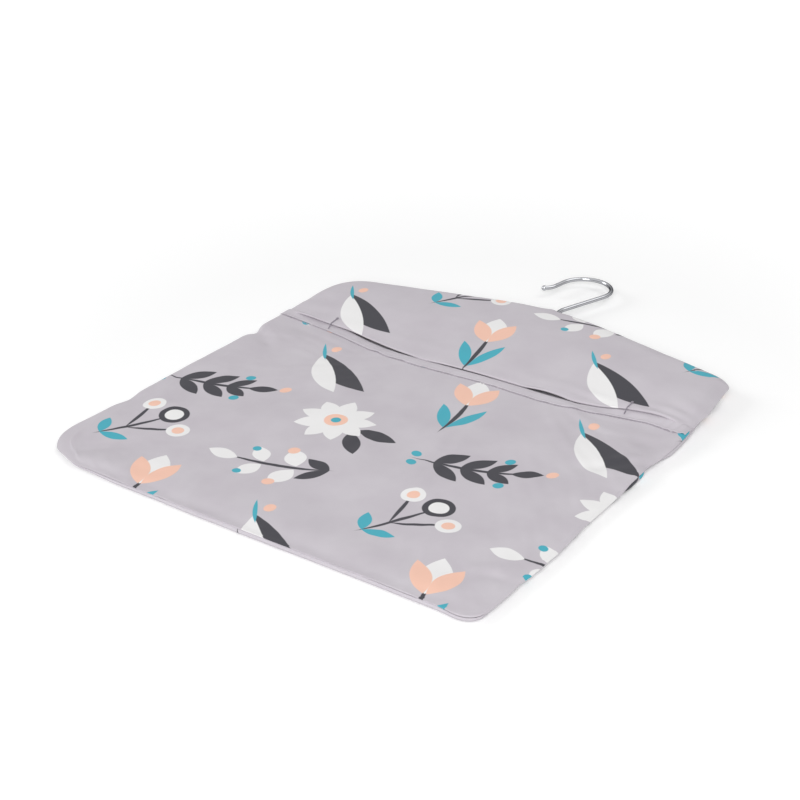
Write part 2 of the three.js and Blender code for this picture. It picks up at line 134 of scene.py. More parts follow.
def map_range(
    tree: bpy.types.NodeTree,
    value: bpy.types.NodeSocket,
    low: float = 0.0,
    high: float = 1.0,
    to_low: Any = 0.0,
    to_high: Any = 1.0,
) -> bpy.types.NodeSocket:
    """Adds a step from one value to another, level beyond its ends.

    Args:
        tree: the node tree that gets it
        value: what it is worked out from
        low: the value at its start
        high: the value at its end
        to_low: its result at the start, a number or an output
        to_high: its result at the end, a number or an output

    Returns:
        the output with the result
    """
    ends = {"From Min": low, "From Max": high, "To Min": to_low, "To Max": to_high}
    return add_node(tree, "ShaderNodeMapRange", inputs={"Value": value, **ends}).outputs[0]


def blend(
    tree: bpy.types.NodeTree, share: bpy.types.NodeSocket, first: Any, second: Any
) -> bpy.types.NodeSocket:
    """Adds a mix of two colours, each an output or a colour, and gives its output."""
    colours = {0: share, 6: first, 7: second}
    return add_node(tree, "ShaderNodeMix", {"data_type": "RGBA"}, colours).outputs[2]


def seen(tree: bpy.types.NodeTree) -> bpy.types.NodeSocket:
    """An output that is 1 for rays from the camera, mirrors and clear things, and 0 for rays of light.

    Args:
        tree: the node tree

    Returns:
        the output
    """
    rays = add_node(tree, "ShaderNodeLightPath").outputs
    direct = calculate(tree, "MAXIMUM", rays["Is Camera Ray"], rays["Is Glossy Ray"])
    return calculate(tree, "MAXIMUM", direct, rays["Is Transmission Ray"])


def put_in_order(maker: bmesh.types.BMesh) -> None:
    """Orders a bmesh's points by place, and its edges and faces by their points.

    Extruding leaves them in an order that changes from run to run, and a simulation adds up its forces in
    that order, so its result would change too.

    Args:
        maker: the bmesh
    """
    maker.verts.index_update()
    placed = sorted(maker.verts, key=lambda vert: tuple(round(part, 7) for part in vert.co))
    ranks = {vert.index: rank for rank, vert in enumerate(placed)}
    maker.verts.sort(key=lambda vert: ranks[vert.index])
    maker.verts.index_update()
    count = len(maker.verts)

    def rank_of(item: bmesh.types.BMEdge | bmesh.types.BMFace) -> int:
        """Ranks an edge or a face by its first three points.

        Args:
            item: the edge or the face

        Returns:
            its rank
        """
        rank = 0
        for index in sorted(vert.index for vert in item.verts)[:3]:
            rank = rank * count + index
        return rank

    for items in (maker.edges, maker.faces):
        items.sort(key=rank_of)
        items.index_update()


def new_object(name: str, mesh_maker: bmesh.types.BMesh) -> bpy.types.Object:
    """Turns a bmesh into an object at the origin and frees the bmesh.

    Args:
        name: name of the piece
        mesh_maker: the finished bmesh

    Returns:
        the linked object
    """
    put_in_order(mesh_maker)
    mesh = bpy.data.meshes.new(name)
    mesh_maker.to_mesh(mesh)
    mesh_maker.free()
    for polygon in mesh.polygons:
        polygon.use_smooth = True
    piece = bpy.data.objects.new(name, mesh)
    bpy.context.scene.collection.objects.link(piece)
    return piece


def edges_between(made: Sequence[Any], verts: set[bmesh.types.BMVert]) -> list[bmesh.types.BMEdge]:
    """The edges of some new geometry whose points are all among the given ones."""
    return [item for item in made if isinstance(item, bmesh.types.BMEdge) and verts.issuperset(item.verts)]


# Print


class Ink(Enum):
    """The print's four colours."""

    CHARCOAL = "#45444A"
    OFF_WHITE = "#E9E8E8"
    PEACH = "#EFC2AE"
    TEAL = "#4AAABB"


@dataclass(frozen=True)
class Leaf:
    """A printed leaf or petal, pointed at both ends.

    Attributes:
        ink: its colour
        x: place of its base along the motif, in millimetres
        y: place of its base across the motif
        turn: degrees that it is turned from the motif's axis
        length: base to tip
        width: across its middle
        twin: whether it has a mirrored twin across the axis
    """

    ink: Ink
    x: float
    y: float
    turn: float
    length: float
    width: float
    twin: bool = False


@dataclass(frozen=True)
class Berry:
    """A printed round dot, placed as a leaf is."""

    ink: Ink
    x: float
    y: float
    radius: float
    twin: bool = False


@dataclass(frozen=True)
class Motif:
    """One printed plant, drawn along an axis that may bend.

    Attributes:
        name: plain name of the plant
        bend: how far the axis bows, in millimetres per square millimetre
        leaves: its leaves, petals and stems
        berries: its round parts
    """

    name: str
    bend: float
    leaves: tuple[Leaf, ...]
    berries: tuple[Berry, ...] = ()

    def group(self, leaf_shape: bpy.types.NodeTree) -> bpy.types.NodeTree:
        """Builds the node group that measures how far a point lies outside each ink.

        Args:
            leaf_shape: the node group of one leaf

        Returns:
            a group from a place on the motif to four distances, negative inside the ink
        """
        tree = bpy.data.node_groups.new(self.name, "ShaderNodeTree")
        tree.interface.new_socket("Place", in_out="INPUT", socket_type="NodeSocketVector")
        for ink in Ink:
            tree.interface.new_socket(ink.name, in_out="OUTPUT", socket_type="NodeSocketFloat")
        start = add_node(tree, "NodeGroupInput")
        parts = add_node(tree, "ShaderNodeSeparateXYZ", inputs={0: start.outputs[0]})
        bow = calculate(tree, "MULTIPLY", calculate(tree, "POWER", parts.outputs[0], 2.0), self.bend / MM)
        across = calculate(tree, "SUBTRACT", parts.outputs[1], bow)
        plain, twins = (
            add_node(tree, "ShaderNodeCombineXYZ", inputs={0: parts.outputs[0], 1: side}).outputs[0]
            for side in (across, calculate(tree, "ABSOLUTE", across))
        )
        distances: dict[Ink, list[bpy.types.NodeSocket]] = {ink: [] for ink in Ink}
        for leaf in self.leaves:
            local = add_node(tree, "ShaderNodeMapping", {"vector_type": "TEXTURE"}, {
                "Vector": twins if leaf.twin else plain,
                "Location": (leaf.x * MM, leaf.y * MM, 0),
                "Rotation": (0, 0, math.radians(leaf.turn)),
            })
            shape = add_node(tree, "ShaderNodeGroup", {"node_tree": leaf_shape}, {
                0: local.outputs[0],
                1: leaf.length * MM,
                2: leaf.width * MM,
            })
            distances[leaf.ink].append(shape.outputs[0])
        for berry in self.berries:
            away = add_node(tree, "ShaderNodeVectorMath", {"operation": "DISTANCE"}, {
                0: twins if berry.twin else plain,
                1: (berry.x * MM, berry.y * MM, 0),
            })
            outside = calculate(tree, "SUBTRACT", away.outputs["Value"], berry.radius * MM)
            distances[berry.ink].append(outside)
        end = add_node(tree, "NodeGroupOutput")
        for ink, sockets in distances.items():
            if sockets:
                tree.links.new(nearest(tree, sockets), end.inputs[ink.name])
            else:
                end.inputs[ink.name].default_value = 1.0
        return tree


def nearest(tree: bpy.types.NodeTree, sockets: Sequence[bpy.types.NodeSocket]) -> bpy.types.NodeSocket:
    """Links a chain of nodes that gives the least of several distances.

    Args:
        tree: the node tree that gets them
        sockets: outputs with the distances

    Returns:
        the output with the least one
    """
    least = sockets[0]
    for socket in sockets[1:]:
        least = calculate(tree, "MINIMUM", least, socket)
    return least


@dataclass(frozen=True)
class Place:
    """Where a motif lies in the repeat, in millimetres, and the degrees that it is turned."""

    motif: str
    x: float
    y: float
    turn: float


@dataclass(frozen=True)
class SprigPrint:
    """A scattered garden print in four inks, in a repeat that steps sideways from row to row."""

    width: float = 230 * MM
    height: float = 222 * MM
    motif_scale: float = 1.08
    softness: float = 0.25 * MM  # how far the ink bleeds at its edge
    motifs: tuple[Motif, ...] = (
        Motif("branch", 0.0035, (
            Leaf(Ink.CHARCOAL, -40, 0, 0, 84, 3),
            Leaf(Ink.CHARCOAL, -24, 0, 42, 27, 11, twin=True),
            Leaf(Ink.CHARCOAL, -6, 0, 40, 26, 10.5, twin=True),
            Leaf(Ink.CHARCOAL, 11, 0, 38, 21, 9, twin=True),
            Leaf(Ink.CHARCOAL, 26, 0, 0, 20, 9),
        ), (
            Berry(Ink.TEAL, -38, 6, 3.6, twin=True),
            Berry(Ink.TEAL, 22, 16, 3.4, twin=True),
            Berry(Ink.PEACH, 51, 0, 3.8),
        )),
        Motif("daisy", 0.0, (
            *(
                Leaf(Ink.OFF_WHITE, 3 * math.cos(turn), 3 * math.sin(turn), math.degrees(turn), 25, 13)
                for turn in (k * math.tau / 9 for k in range(9))
            ),
            Leaf(Ink.CHARCOAL, 14, -14, -70, 30, 12),
            Leaf(Ink.CHARCOAL, 18, -10, -18, 30, 12),
        ), (
            Berry(Ink.PEACH, 0, 0, 8),
            Berry(Ink.TEAL, 0, 0, 3.4),
        )),
        Motif("tulip", 0.002, (
            Leaf(Ink.CHARCOAL, -42, 0, 0, 56, 3.4),
            Leaf(Ink.TEAL, -34, 1, 24, 36, 9, twin=True),
            Leaf(Ink.OFF_WHITE, 2, 0, 0, 38, 19),
            Leaf(Ink.PEACH, 2, 1, 24, 33, 13, twin=True),
        )),
        Motif("split_leaf", 0.004, (
            Leaf(Ink.TEAL, -46, 0, 0, 26, 3),
            Leaf(Ink.CHARCOAL, -28, 1.2, 5, 68, 20),
            Leaf(Ink.OFF_WHITE, -28, -1.2, -9, 62, 16),
        ), (
            Berry(Ink.PEACH, -34, 9, 4),
        )),
        Motif("bell_twig", -0.003, (
            Leaf(Ink.CHARCOAL, -38, 0, 0, 74, 3),
            Leaf(Ink.OFF_WHITE, -14, 2, 66, 22, 14, twin=True),
            Leaf(Ink.OFF_WHITE, 8, 2, 58, 20, 12, twin=True),
            Leaf(Ink.OFF_WHITE, 26, 0, 0, 22, 12),
            Leaf(Ink.CHARCOAL, -36, 0, 35, 22, 9, twin=True),
        ), (
            Berry(Ink.PEACH, -5, 21, 4, twin=True),
            Berry(Ink.TEAL, 19, 16, 3, twin=True),
        )),
        Motif("seed_heads", 0.0015, (
            Leaf(Ink.CHARCOAL, -36, 0, 0, 54, 2.8),
            Leaf(Ink.CHARCOAL, -15, 0, 36, 36, 2.8, twin=True),
            Leaf(Ink.TEAL, -32, 0, 52, 21, 8, twin=True),
        ), (
            Berry(Ink.CHARCOAL, 20, 0, 10.5),
            Berry(Ink.OFF_WHITE, 20, 0, 6.5),
            Berry(Ink.OFF_WHITE, 14, 21, 8, twin=True),
            Berry(Ink.PEACH, 14, 21, 4.2, twin=True),
        )),
    )
    places: tuple[Place, ...] = (
        Place("branch", 58, 34, 18),
        Place("daisy", 170, 40, 20),
        Place("tulip", 4, 112, 102),
        Place("split_leaf", 116, 104, -38),
        Place("bell_twig", 60, 186, 196),
        Place("seed_heads", 176, 182, 64),
    )

    def leaf_shape(self) -> bpy.types.NodeTree:
        """The group of one leaf: a place on it, its length and its width, to the distance outside it.

        Returns:
            the node group
        """
        tree = bpy.data.node_groups.new("leaf", "ShaderNodeTree")
        for name, way, kind in (
            ("Place", "INPUT", "NodeSocketVector"),
            ("Length", "INPUT", "NodeSocketFloat"),
            ("Width", "INPUT", "NodeSocketFloat"),
            ("Distance", "OUTPUT", "NodeSocketFloat"),
        ):
            tree.interface.new_socket(name, in_out=way, socket_type=kind)
        start = add_node(tree, "NodeGroupInput")
        parts = add_node(tree, "ShaderNodeSeparateXYZ", inputs={0: start.outputs["Place"]})
        share = calculate(tree, "DIVIDE", parts.outputs[0], start.outputs["Length"])
        belly = calculate(tree, "MULTIPLY", share, calculate(tree, "SUBTRACT", 1.0, share))
        reach = calculate(tree, "MULTIPLY", belly, calculate(tree, "MULTIPLY", start.outputs["Width"], 2.0))
        outside = calculate(tree, "SUBTRACT", calculate(tree, "ABSOLUTE", parts.outputs[1]), reach)
        add_node(tree, "NodeGroupOutput", inputs={0: outside})
        return tree

    def paint(
        self, tree: bpy.types.NodeTree, place: bpy.types.NodeSocket, ground: bpy.types.NodeSocket
    ) -> bpy.types.NodeSocket:
        """Prints the motifs over a ground colour.

        Args:
            tree: the material's node tree
            place: a point's place on the flat cloth, in metres
            ground: colour of the bare cloth

        Returns:
            the printed colour
        """
        leaf_shape = self.leaf_shape()
        groups = {motif.name: motif.group(leaf_shape) for motif in self.motifs}
        distances: dict[Ink, list[bpy.types.NodeSocket]] = {ink: [] for ink in Ink}
        parts = add_node(tree, "ShaderNodeSeparateXYZ", inputs={0: place})
        for spot in self.places:
            middle = Vector((spot.x * MM, spot.y * MM, 0))
            reach = Vector((self.width / 2, self.height / 2, 1))
            start = 0.5 - middle.y / self.height
            up = calculate(tree, "MULTIPLY_ADD", parts.outputs[1], 1 / self.height, start)
            row = calculate(tree, "FLOOR", up)
            step = calculate(tree, "MULTIPLY_ADD", row, self.width / 2, parts.outputs[0])
            stepped = add_node(tree, "ShaderNodeCombineXYZ", inputs={0: step, 1: parts.outputs[1]})
            wrapped = add_node(tree, "ShaderNodeVectorMath", {"operation": "WRAP"}, {
                0: stepped.outputs[0],
                1: middle + reach,
                2: middle - reach,
            })
            local = add_node(tree, "ShaderNodeMapping", {"vector_type": "TEXTURE"}, {
                "Vector": wrapped.outputs[0],
                "Location": middle,
                "Rotation": (0, 0, math.radians(spot.turn)),
                "Scale": (self.motif_scale, self.motif_scale, 1),
            })
            motif = {"node_tree": groups[spot.motif]}
            drawn = add_node(tree, "ShaderNodeGroup", motif, {0: local.outputs[0]})
            for ink in Ink:
                distances[ink].append(drawn.outputs[ink.name])
        colour = ground
        for ink, sockets in distances.items():
            cover = map_range(tree, nearest(tree, sockets), self.softness, -self.softness)
            colour = blend(tree, cover, colour, linear(ink.value))
        return colour


# Finishes


class Finish(ABC):
    """A material of the bag, built once and shared by its pieces."""

    name: str

    def material(self) -> bpy.types.Material:
        """The finished material, made when it is first asked for.

        Returns:
            the material
        """
        found = bpy.data.materials.get(self.name)
        if found:
            return found
        made = bpy.data.materials.new(self.name)
        made.use_nodes = True
        made.node_tree.nodes.clear()
        surface = self.surface(made.node_tree)
        add_node(made.node_tree, "ShaderNodeOutputMaterial", inputs={"Surface": surface})
        return made

    @abstractmethod
    def surface(self, tree: bpy.types.NodeTree) -> bpy.types.NodeSocket:
        """Builds the nodes and gives the shader's output."""


@dataclass(frozen=True)
class Cotton(Finish):
    """Plain-woven cotton, dyed in the piece: matt, with a faint bloom of loose fibres.

    Attributes:
        name: name of the material
        dye: colour of the bare cloth
        shade: its other colour, which comes and goes in soft clouds: partly the yarn's own uneven tone,
            partly painted shade that stands in for the soft waves of the cloth
        pattern: the print on it, if it has one
        thread: spacing of the threads, drawn coarser than the real 0.35 mm, which is too fine to show
        slub_and_shade_size: length over which the clouds change, partly slubs in the yarn and partly painted
            shade
        relief: height of the weave
    """

    name: str
    dye: str = "#C7C2C8"
    shade: str = "#C0BAC1"
    pattern: SprigPrint | None = None
    thread: float = 0.9 * MM
    slub_and_shade_size: float = 32 * MM
    relief: float = 0.05 * MM

    def surface(self, tree: bpy.types.NodeTree) -> bpy.types.NodeSocket:
        """Dye with clouds that are partly slubs and partly painted shade, the print over it, and the weave
        as relief.

        Args:
            tree: the material's node tree

        Returns:
            the shader's output
        """
        place = add_node(tree, "ShaderNodeAttribute", {"attribute_name": CLOTH_PLACE}).outputs["Vector"]
        spacing = {"Vector": place, "Scale": WAVE_LENGTH / self.thread}
        warp, weft = (
            add_node(tree, "ShaderNodeTexWave", {"bands_direction": way}, spacing).outputs["Fac"]
            for way in ("X", "Y")
        )
        # painted shade: these clouds of darker tone stand partly for the yarn's slubs and partly for the
        # shading of the cloth's soft waves
        slubs_and_painted_shade = add_node(tree, "ShaderNodeTexNoise", inputs={
            "Vector": place,
            "Scale": 1 / self.slub_and_shade_size,
            "Detail": 5.0,
            "Roughness": 0.5,
        })
        clouds = map_range(tree, slubs_and_painted_shade.outputs["Fac"], 0.3, 0.7)
        colour = blend(tree, clouds, linear(self.dye), linear(self.shade))
        if self.pattern:
            colour = self.pattern.paint(tree, place, colour)
        relief = add_node(tree, "ShaderNodeBump", inputs={
            "Strength": 0.35,
            "Distance": self.relief,
            "Height": calculate(tree, "MAXIMUM", warp, weft),
        })
        lit = add_node(tree, "ShaderNodeBsdfPrincipled", inputs={
            "Base Color": colour,
            "Roughness": 0.88,
            "Specular IOR Level": 0.2,
            "Sheen Weight": 0.08,
            "Sheen Roughness": 0.5,
            "Normal": relief.outputs[0],
        })
        return lit.outputs[0]


@dataclass(frozen=True)
class SewingThread(Finish):
    """Spun polyester sewing thread: a slight gloss, broken by its twist."""

    name: str
    dye: str
    twist: float = 0.8 * MM

    def surface(self, tree: bpy.types.NodeTree) -> bpy.types.NodeSocket:
        """Dyed thread whose plies show as slanting bands.

        Args:
            tree: the material's node tree

        Returns:
            the shader's output
        """
        place = add_node(tree, "ShaderNodeTexCoord").outputs["Object"]
        plies = add_node(tree, "ShaderNodeTexWave", {"bands_direction": "DIAGONAL"}, {
            "Vector": place,
            "Scale": WAVE_LENGTH / self.twist,
        })
        relief = add_node(tree, "ShaderNodeBump", inputs={
            "Strength": 0.5,
            "Distance": 0.1 * MM,
            "Height": plies.outputs["Fac"],
        })
        fleck = add_node(tree, "ShaderNodeTexNoise", inputs={"Vector": place, "Scale": 1 / (6 * MM)})
        colour = add_node(tree, "ShaderNodeHueSaturation", inputs={
            "Color": linear(self.dye),
            "Value": map_range(tree, fleck.outputs["Fac"], to_low=0.85, to_high=1.15),
        })
        lit = add_node(tree, "ShaderNodeBsdfPrincipled", inputs={
            "Base Color": colour.outputs[0],
            "Roughness": 0.6,
            "Normal": relief.outputs[0],
        })
        return lit.outputs[0]


@dataclass(frozen=True)
class ChromedWire(Finish):
    """Drawn steel wire with bright chrome: a clear mirror, with a painted darker reflection where it curves
    away, from a dark edge tint.
    """

    name: str = "chromed_wire"

    def surface(self, tree: bpy.types.NodeTree) -> bpy.types.NodeSocket:
        """Chrome with fine draw marks in its roughness.

        Args:
            tree: the material's node tree

        Returns:
            the shader's output
        """
        place = add_node(tree, "ShaderNodeTexCoord").outputs["Object"]
        marks = add_node(tree, "ShaderNodeTexNoise", inputs={
            "Vector": place,
            "Scale": 1 / (2 * MM),
            "Detail": 4.0,
        })
        lit = add_node(tree, "ShaderNodeBsdfPrincipled", inputs={
            "Base Color": linear("#BCBDC1"),
            "Metallic": 1.0,
            "Roughness": map_range(tree, marks.outputs["Fac"], to_low=0.06, to_high=0.14),
            # painted reflection: the dark edge tint darkens the chrome where it curves away, in place of
            # dark surroundings mirrored in it
            "Specular Tint": linear("#4A4B4E"),
        })
        return lit.outputs[0]


@dataclass(frozen=True)
class ZincSteel(Finish):
    """Zinc-plated steel: a dull grey shine with a faint crystal bloom."""

    name: str = "zinc_plated_steel"

    def surface(self, tree: bpy.types.NodeTree) -> bpy.types.NodeSocket:
        """Grey metal whose roughness changes from crystal to crystal.

        Args:
            tree: the material's node tree

        Returns:
            the shader's output
        """
        place = add_node(tree, "ShaderNodeTexCoord").outputs["Object"]
        bloom = add_node(tree, "ShaderNodeTexVoronoi", inputs={"Vector": place, "Scale": 1 / (1.5 * MM)})
        lit = add_node(tree, "ShaderNodeBsdfPrincipled", inputs={
            "Base Color": linear("#B4B6B8"),
            "Metallic": 1.0,
            "Roughness": map_range(tree, bloom.outputs["Distance"], to_low=0.3, to_high=0.5),
        })
        return lit.outputs[0]


@dataclass(frozen=True)
class LacqueredBeech(Finish):
    """Turned and lacquered beech: pale pink-brown, with short dark flecks along the grain."""

    name: str = "lacquered_beech"

    def surface(self, tree: bpy.types.NodeTree) -> bpy.types.NodeSocket:
        """Growth bands along the bar and the flecks of its rays, under a satin lacquer.

        Args:
            tree: the material's node tree

        Returns:
            the shader's output
        """
        place = add_node(tree, "ShaderNodeTexCoord").outputs["Object"]
        along = add_node(tree, "ShaderNodeMapping", inputs={"Vector": place, "Scale": (0.06, 1.0, 1.0)})
        bands = add_node(tree, "ShaderNodeTexNoise", inputs={
            "Vector": along.outputs[0],
            "Scale": 1 / (5 * MM),
            "Detail": 3.0,
        })
        flecks = add_node(tree, "ShaderNodeTexVoronoi", inputs={
            "Vector": along.outputs[0],
            "Scale": 1 / (1.2 * MM),
        })
        grain = blend(tree, bands.outputs["Fac"], linear("#DDBB8E"), linear("#C39A6A"))
        spots = map_range(tree, flecks.outputs["Distance"], 0.25, 0.1, to_high=0.5)
        lit = add_node(tree, "ShaderNodeBsdfPrincipled", inputs={
            "Base Color": blend(tree, spots, grain, linear("#8E6840")),
            "Roughness": 0.42,
            "Coat Weight": 0.4,
            "Coat Roughness": 0.2,
        })
        return lit.outputs[0]


PRINTED_COTTON = Cotton("cotton_print", pattern=SprigPrint())
PLAIN_COTTON = Cotton("plain_cotton")
COTTON_REVERSE = Cotton("cotton_reverse", dye="#CBC6CC", shade="#C4BFC6")
SEAM_THREAD = SewingThread("seam_thread", "#AEA8B0")
BARTACK_THREAD = SewingThread("bartack_thread", "#8C8690")
CHROMED_WIRE = ChromedWire()
ZINC_STEEL = ZincSteel()
LACQUERED_BEECH = LacqueredBeech()


# Outline of the bag and how it lies


@dataclass(frozen=True)
class Corner:
    """A corner of the outline before it is rounded, in the frame."""

    name: str
    x: float
    y: float
    radius: float


@dataclass(frozen=True)
class BagOutline:
    """The bag's outline along its seam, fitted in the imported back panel's box.

    The two bottom corners lie differently: the left one is slack, the right one is pushed out.
    """

    shoulder_width: float = 362 * MM
    slope: float = math.radians(14.7)
    peak_round: float = 190 * MM
    left_shoulder_round: float = 34 * MM
    right_shoulder_round: float = 14 * MM
    left_round: float = 46 * MM
    right_round: float = 18 * MM
    side_round: float = 150 * MM
    left_mouth: float = 286 * MM  # bottom seam to the mouth's line at the left side seam
    right_mouth: float = 284 * MM

    def corners(self) -> list[Corner]:
        """The corners anticlockwise from the bottom left, seen from above.

        Returns:
            the corners
        """
        low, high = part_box("back_panel")
        half = (high.x - low.x) / 2
        shoulder = self.shoulder_width / 2
        apex = high.y + self.peak_round * (1 / math.cos(self.slope) - 1)
        shoulder_y = apex - shoulder * math.tan(self.slope)
        return [
            Corner("bottom_left", -half, low.y, self.left_round),
            Corner("bottom_right", half, low.y, self.right_round),
            Corner("mouth_right", half, low.y + self.right_mouth, self.side_round),
            Corner("shoulder_right", shoulder, shoulder_y, self.right_shoulder_round),
            Corner("peak", 0, apex, self.peak_round),
            Corner("shoulder_left", -shoulder, shoulder_y, self.left_shoulder_round),
            Corner("mouth_left", -half, low.y + self.left_mouth, self.side_round),
        ]


class SeamPath:
    """The bag's outer edge as one closed line with its outward normals."""

    STEP = 1 * MM

    def __init__(self, corners: Sequence[Corner]) -> None:
        """Rounds the corners and measures the line.

        Args:
            corners: the outline's corners, anticlockwise
        """
        self.points: list[Vector] = []
        self.normals: list[Vector] = []
        self.names = [corner.name for corner in corners]
        self.marks: dict[str, float] = {}
        middles: dict[str, int] = {}
        for before, corner, after in zip(corners[-1:] + corners[:-1], corners, corners[1:] + corners[:1]):
            middles[corner.name] = len(self.points) + self._round(before, corner, after) // 2
        closed = [*self.points, self.points[0]]
        self.lengths = [0.0]
        for a, b in pairwise(closed):
            self.lengths.append(self.lengths[-1] + (b - a).length)
        self.total = self.lengths[-1]
        for name, index in middles.items():
            self.marks[name] = self.lengths[index]

    def _round(self, before: Corner, corner: Corner, after: Corner) -> int:
        """Adds the arc at one corner and gives its number of points.

        Args:
            before: the corner before it
            corner: the corner
            after: the corner after it

        Returns:
            the number of points
        """
        place = Vector((corner.x, corner.y, 0))
        coming = (place - Vector((before.x, before.y, 0))).normalized()
        going = (Vector((after.x, after.y, 0)) - place).normalized()
        turn = coming.angle(going)
        outward = coming.cross(UP)
        centre = place - coming * corner.radius * math.tan(turn / 2) - outward * corner.radius
        count = max(4, math.ceil(corner.radius * turn / self.STEP))
        for i in range(count + 1):
            normal = Matrix.Rotation(turn * i / count, 3, "Z") @ outward
            self.points.append(centre + normal * corner.radius)
            self.normals.append(normal)
        return count

    def at(self, along: float) -> tuple[Vector, Vector]:
        """The point and the outward normal at a distance along the line.

        Args:
            along: distance from the line's start, which may run past its end

        Returns:
            the point and the normal, both level
        """
        along %= self.total
        i = min(bisect.bisect_right(self.lengths, along), len(self.lengths) - 1)
        span = self.lengths[i] - self.lengths[i - 1]
        share = (along - self.lengths[i - 1]) / span if span else 0.0
        last = i % len(self.points)
        point = self.points[i - 1].lerp(self.points[last], share)
        normal = self.normals[i - 1].lerp(self.normals[last], share)
        return point, normal.normalized()

    def place(self, name: str, share: float = 0.0) -> float:
        """The distance along the line that lies a share of the way from a corner to the next.

        Args:
            name: the first corner
            share: 0 to 1 from it to the next

        Returns:
            the distance
        """
        following = self.names[(self.names.index(name) + 1) % len(self.names)]
        start = self.marks[name]
        return start + ((self.marks[following] - start) % self.total) * share

    def stretch(self, start: str, end: str, clockwise: bool = False) -> Callable[[float], float]:
        """A function from a share to the distance along the line between two corners.

        Args:
            start: the corner at share 0
            end: the corner at share 1
            clockwise: whether it runs against the line

        Returns:
            the function
        """
        first = self.marks[start]
        run = (self.marks[end] - first) % self.total
        if clockwise:
            run -= self.total
        return lambda share: first + run * share


@dataclass(frozen=True)
class Station:
    """How the rim lies at one place on the seam, in millimetres.

    Attributes:
        corner: the corner that it is measured from
        share: how far on towards the next corner, from 0 to 1
        roll: width over which the front turns over to the seam
        crest: height at which the front has turned level
        seam: height of the seam line
        draw: how far the seam is drawn in from the cut outline
        lip: 0 where the edge is rolled, 1 where it is flat and its seam is tucked under it
    """

    corner: str
    share: float
    roll: float
    crest: float
    seam: float
    draw: float = 0.0
    lip: float = 0.0


@dataclass(frozen=True)
class Pinch:
    """A place where the seam is drawn in, in millimetres.

    Attributes:
        corner: the corner that it is measured from
        share: how far on towards the next corner, from 0 to 1
        inward: how far the seam is drawn in
        length: half length
        lift: how far the rim is lifted, below 0 where it sinks
    """

    corner: str
    share: float
    inward: float
    length: float
    lift: float


@dataclass(frozen=True)
class Rim:
    """How the rim lies at a point of the seam, in metres."""

    roll: float
    crest: float
    seam: float
    shift: float
    lip: float
    TUCKED: ClassVar[float] = 3 * MM  # how far the seam lies under a flat edge

    @property
    def under(self) -> float:
        """How far the seam lies under the edge."""
        return self.lip * self.TUCKED


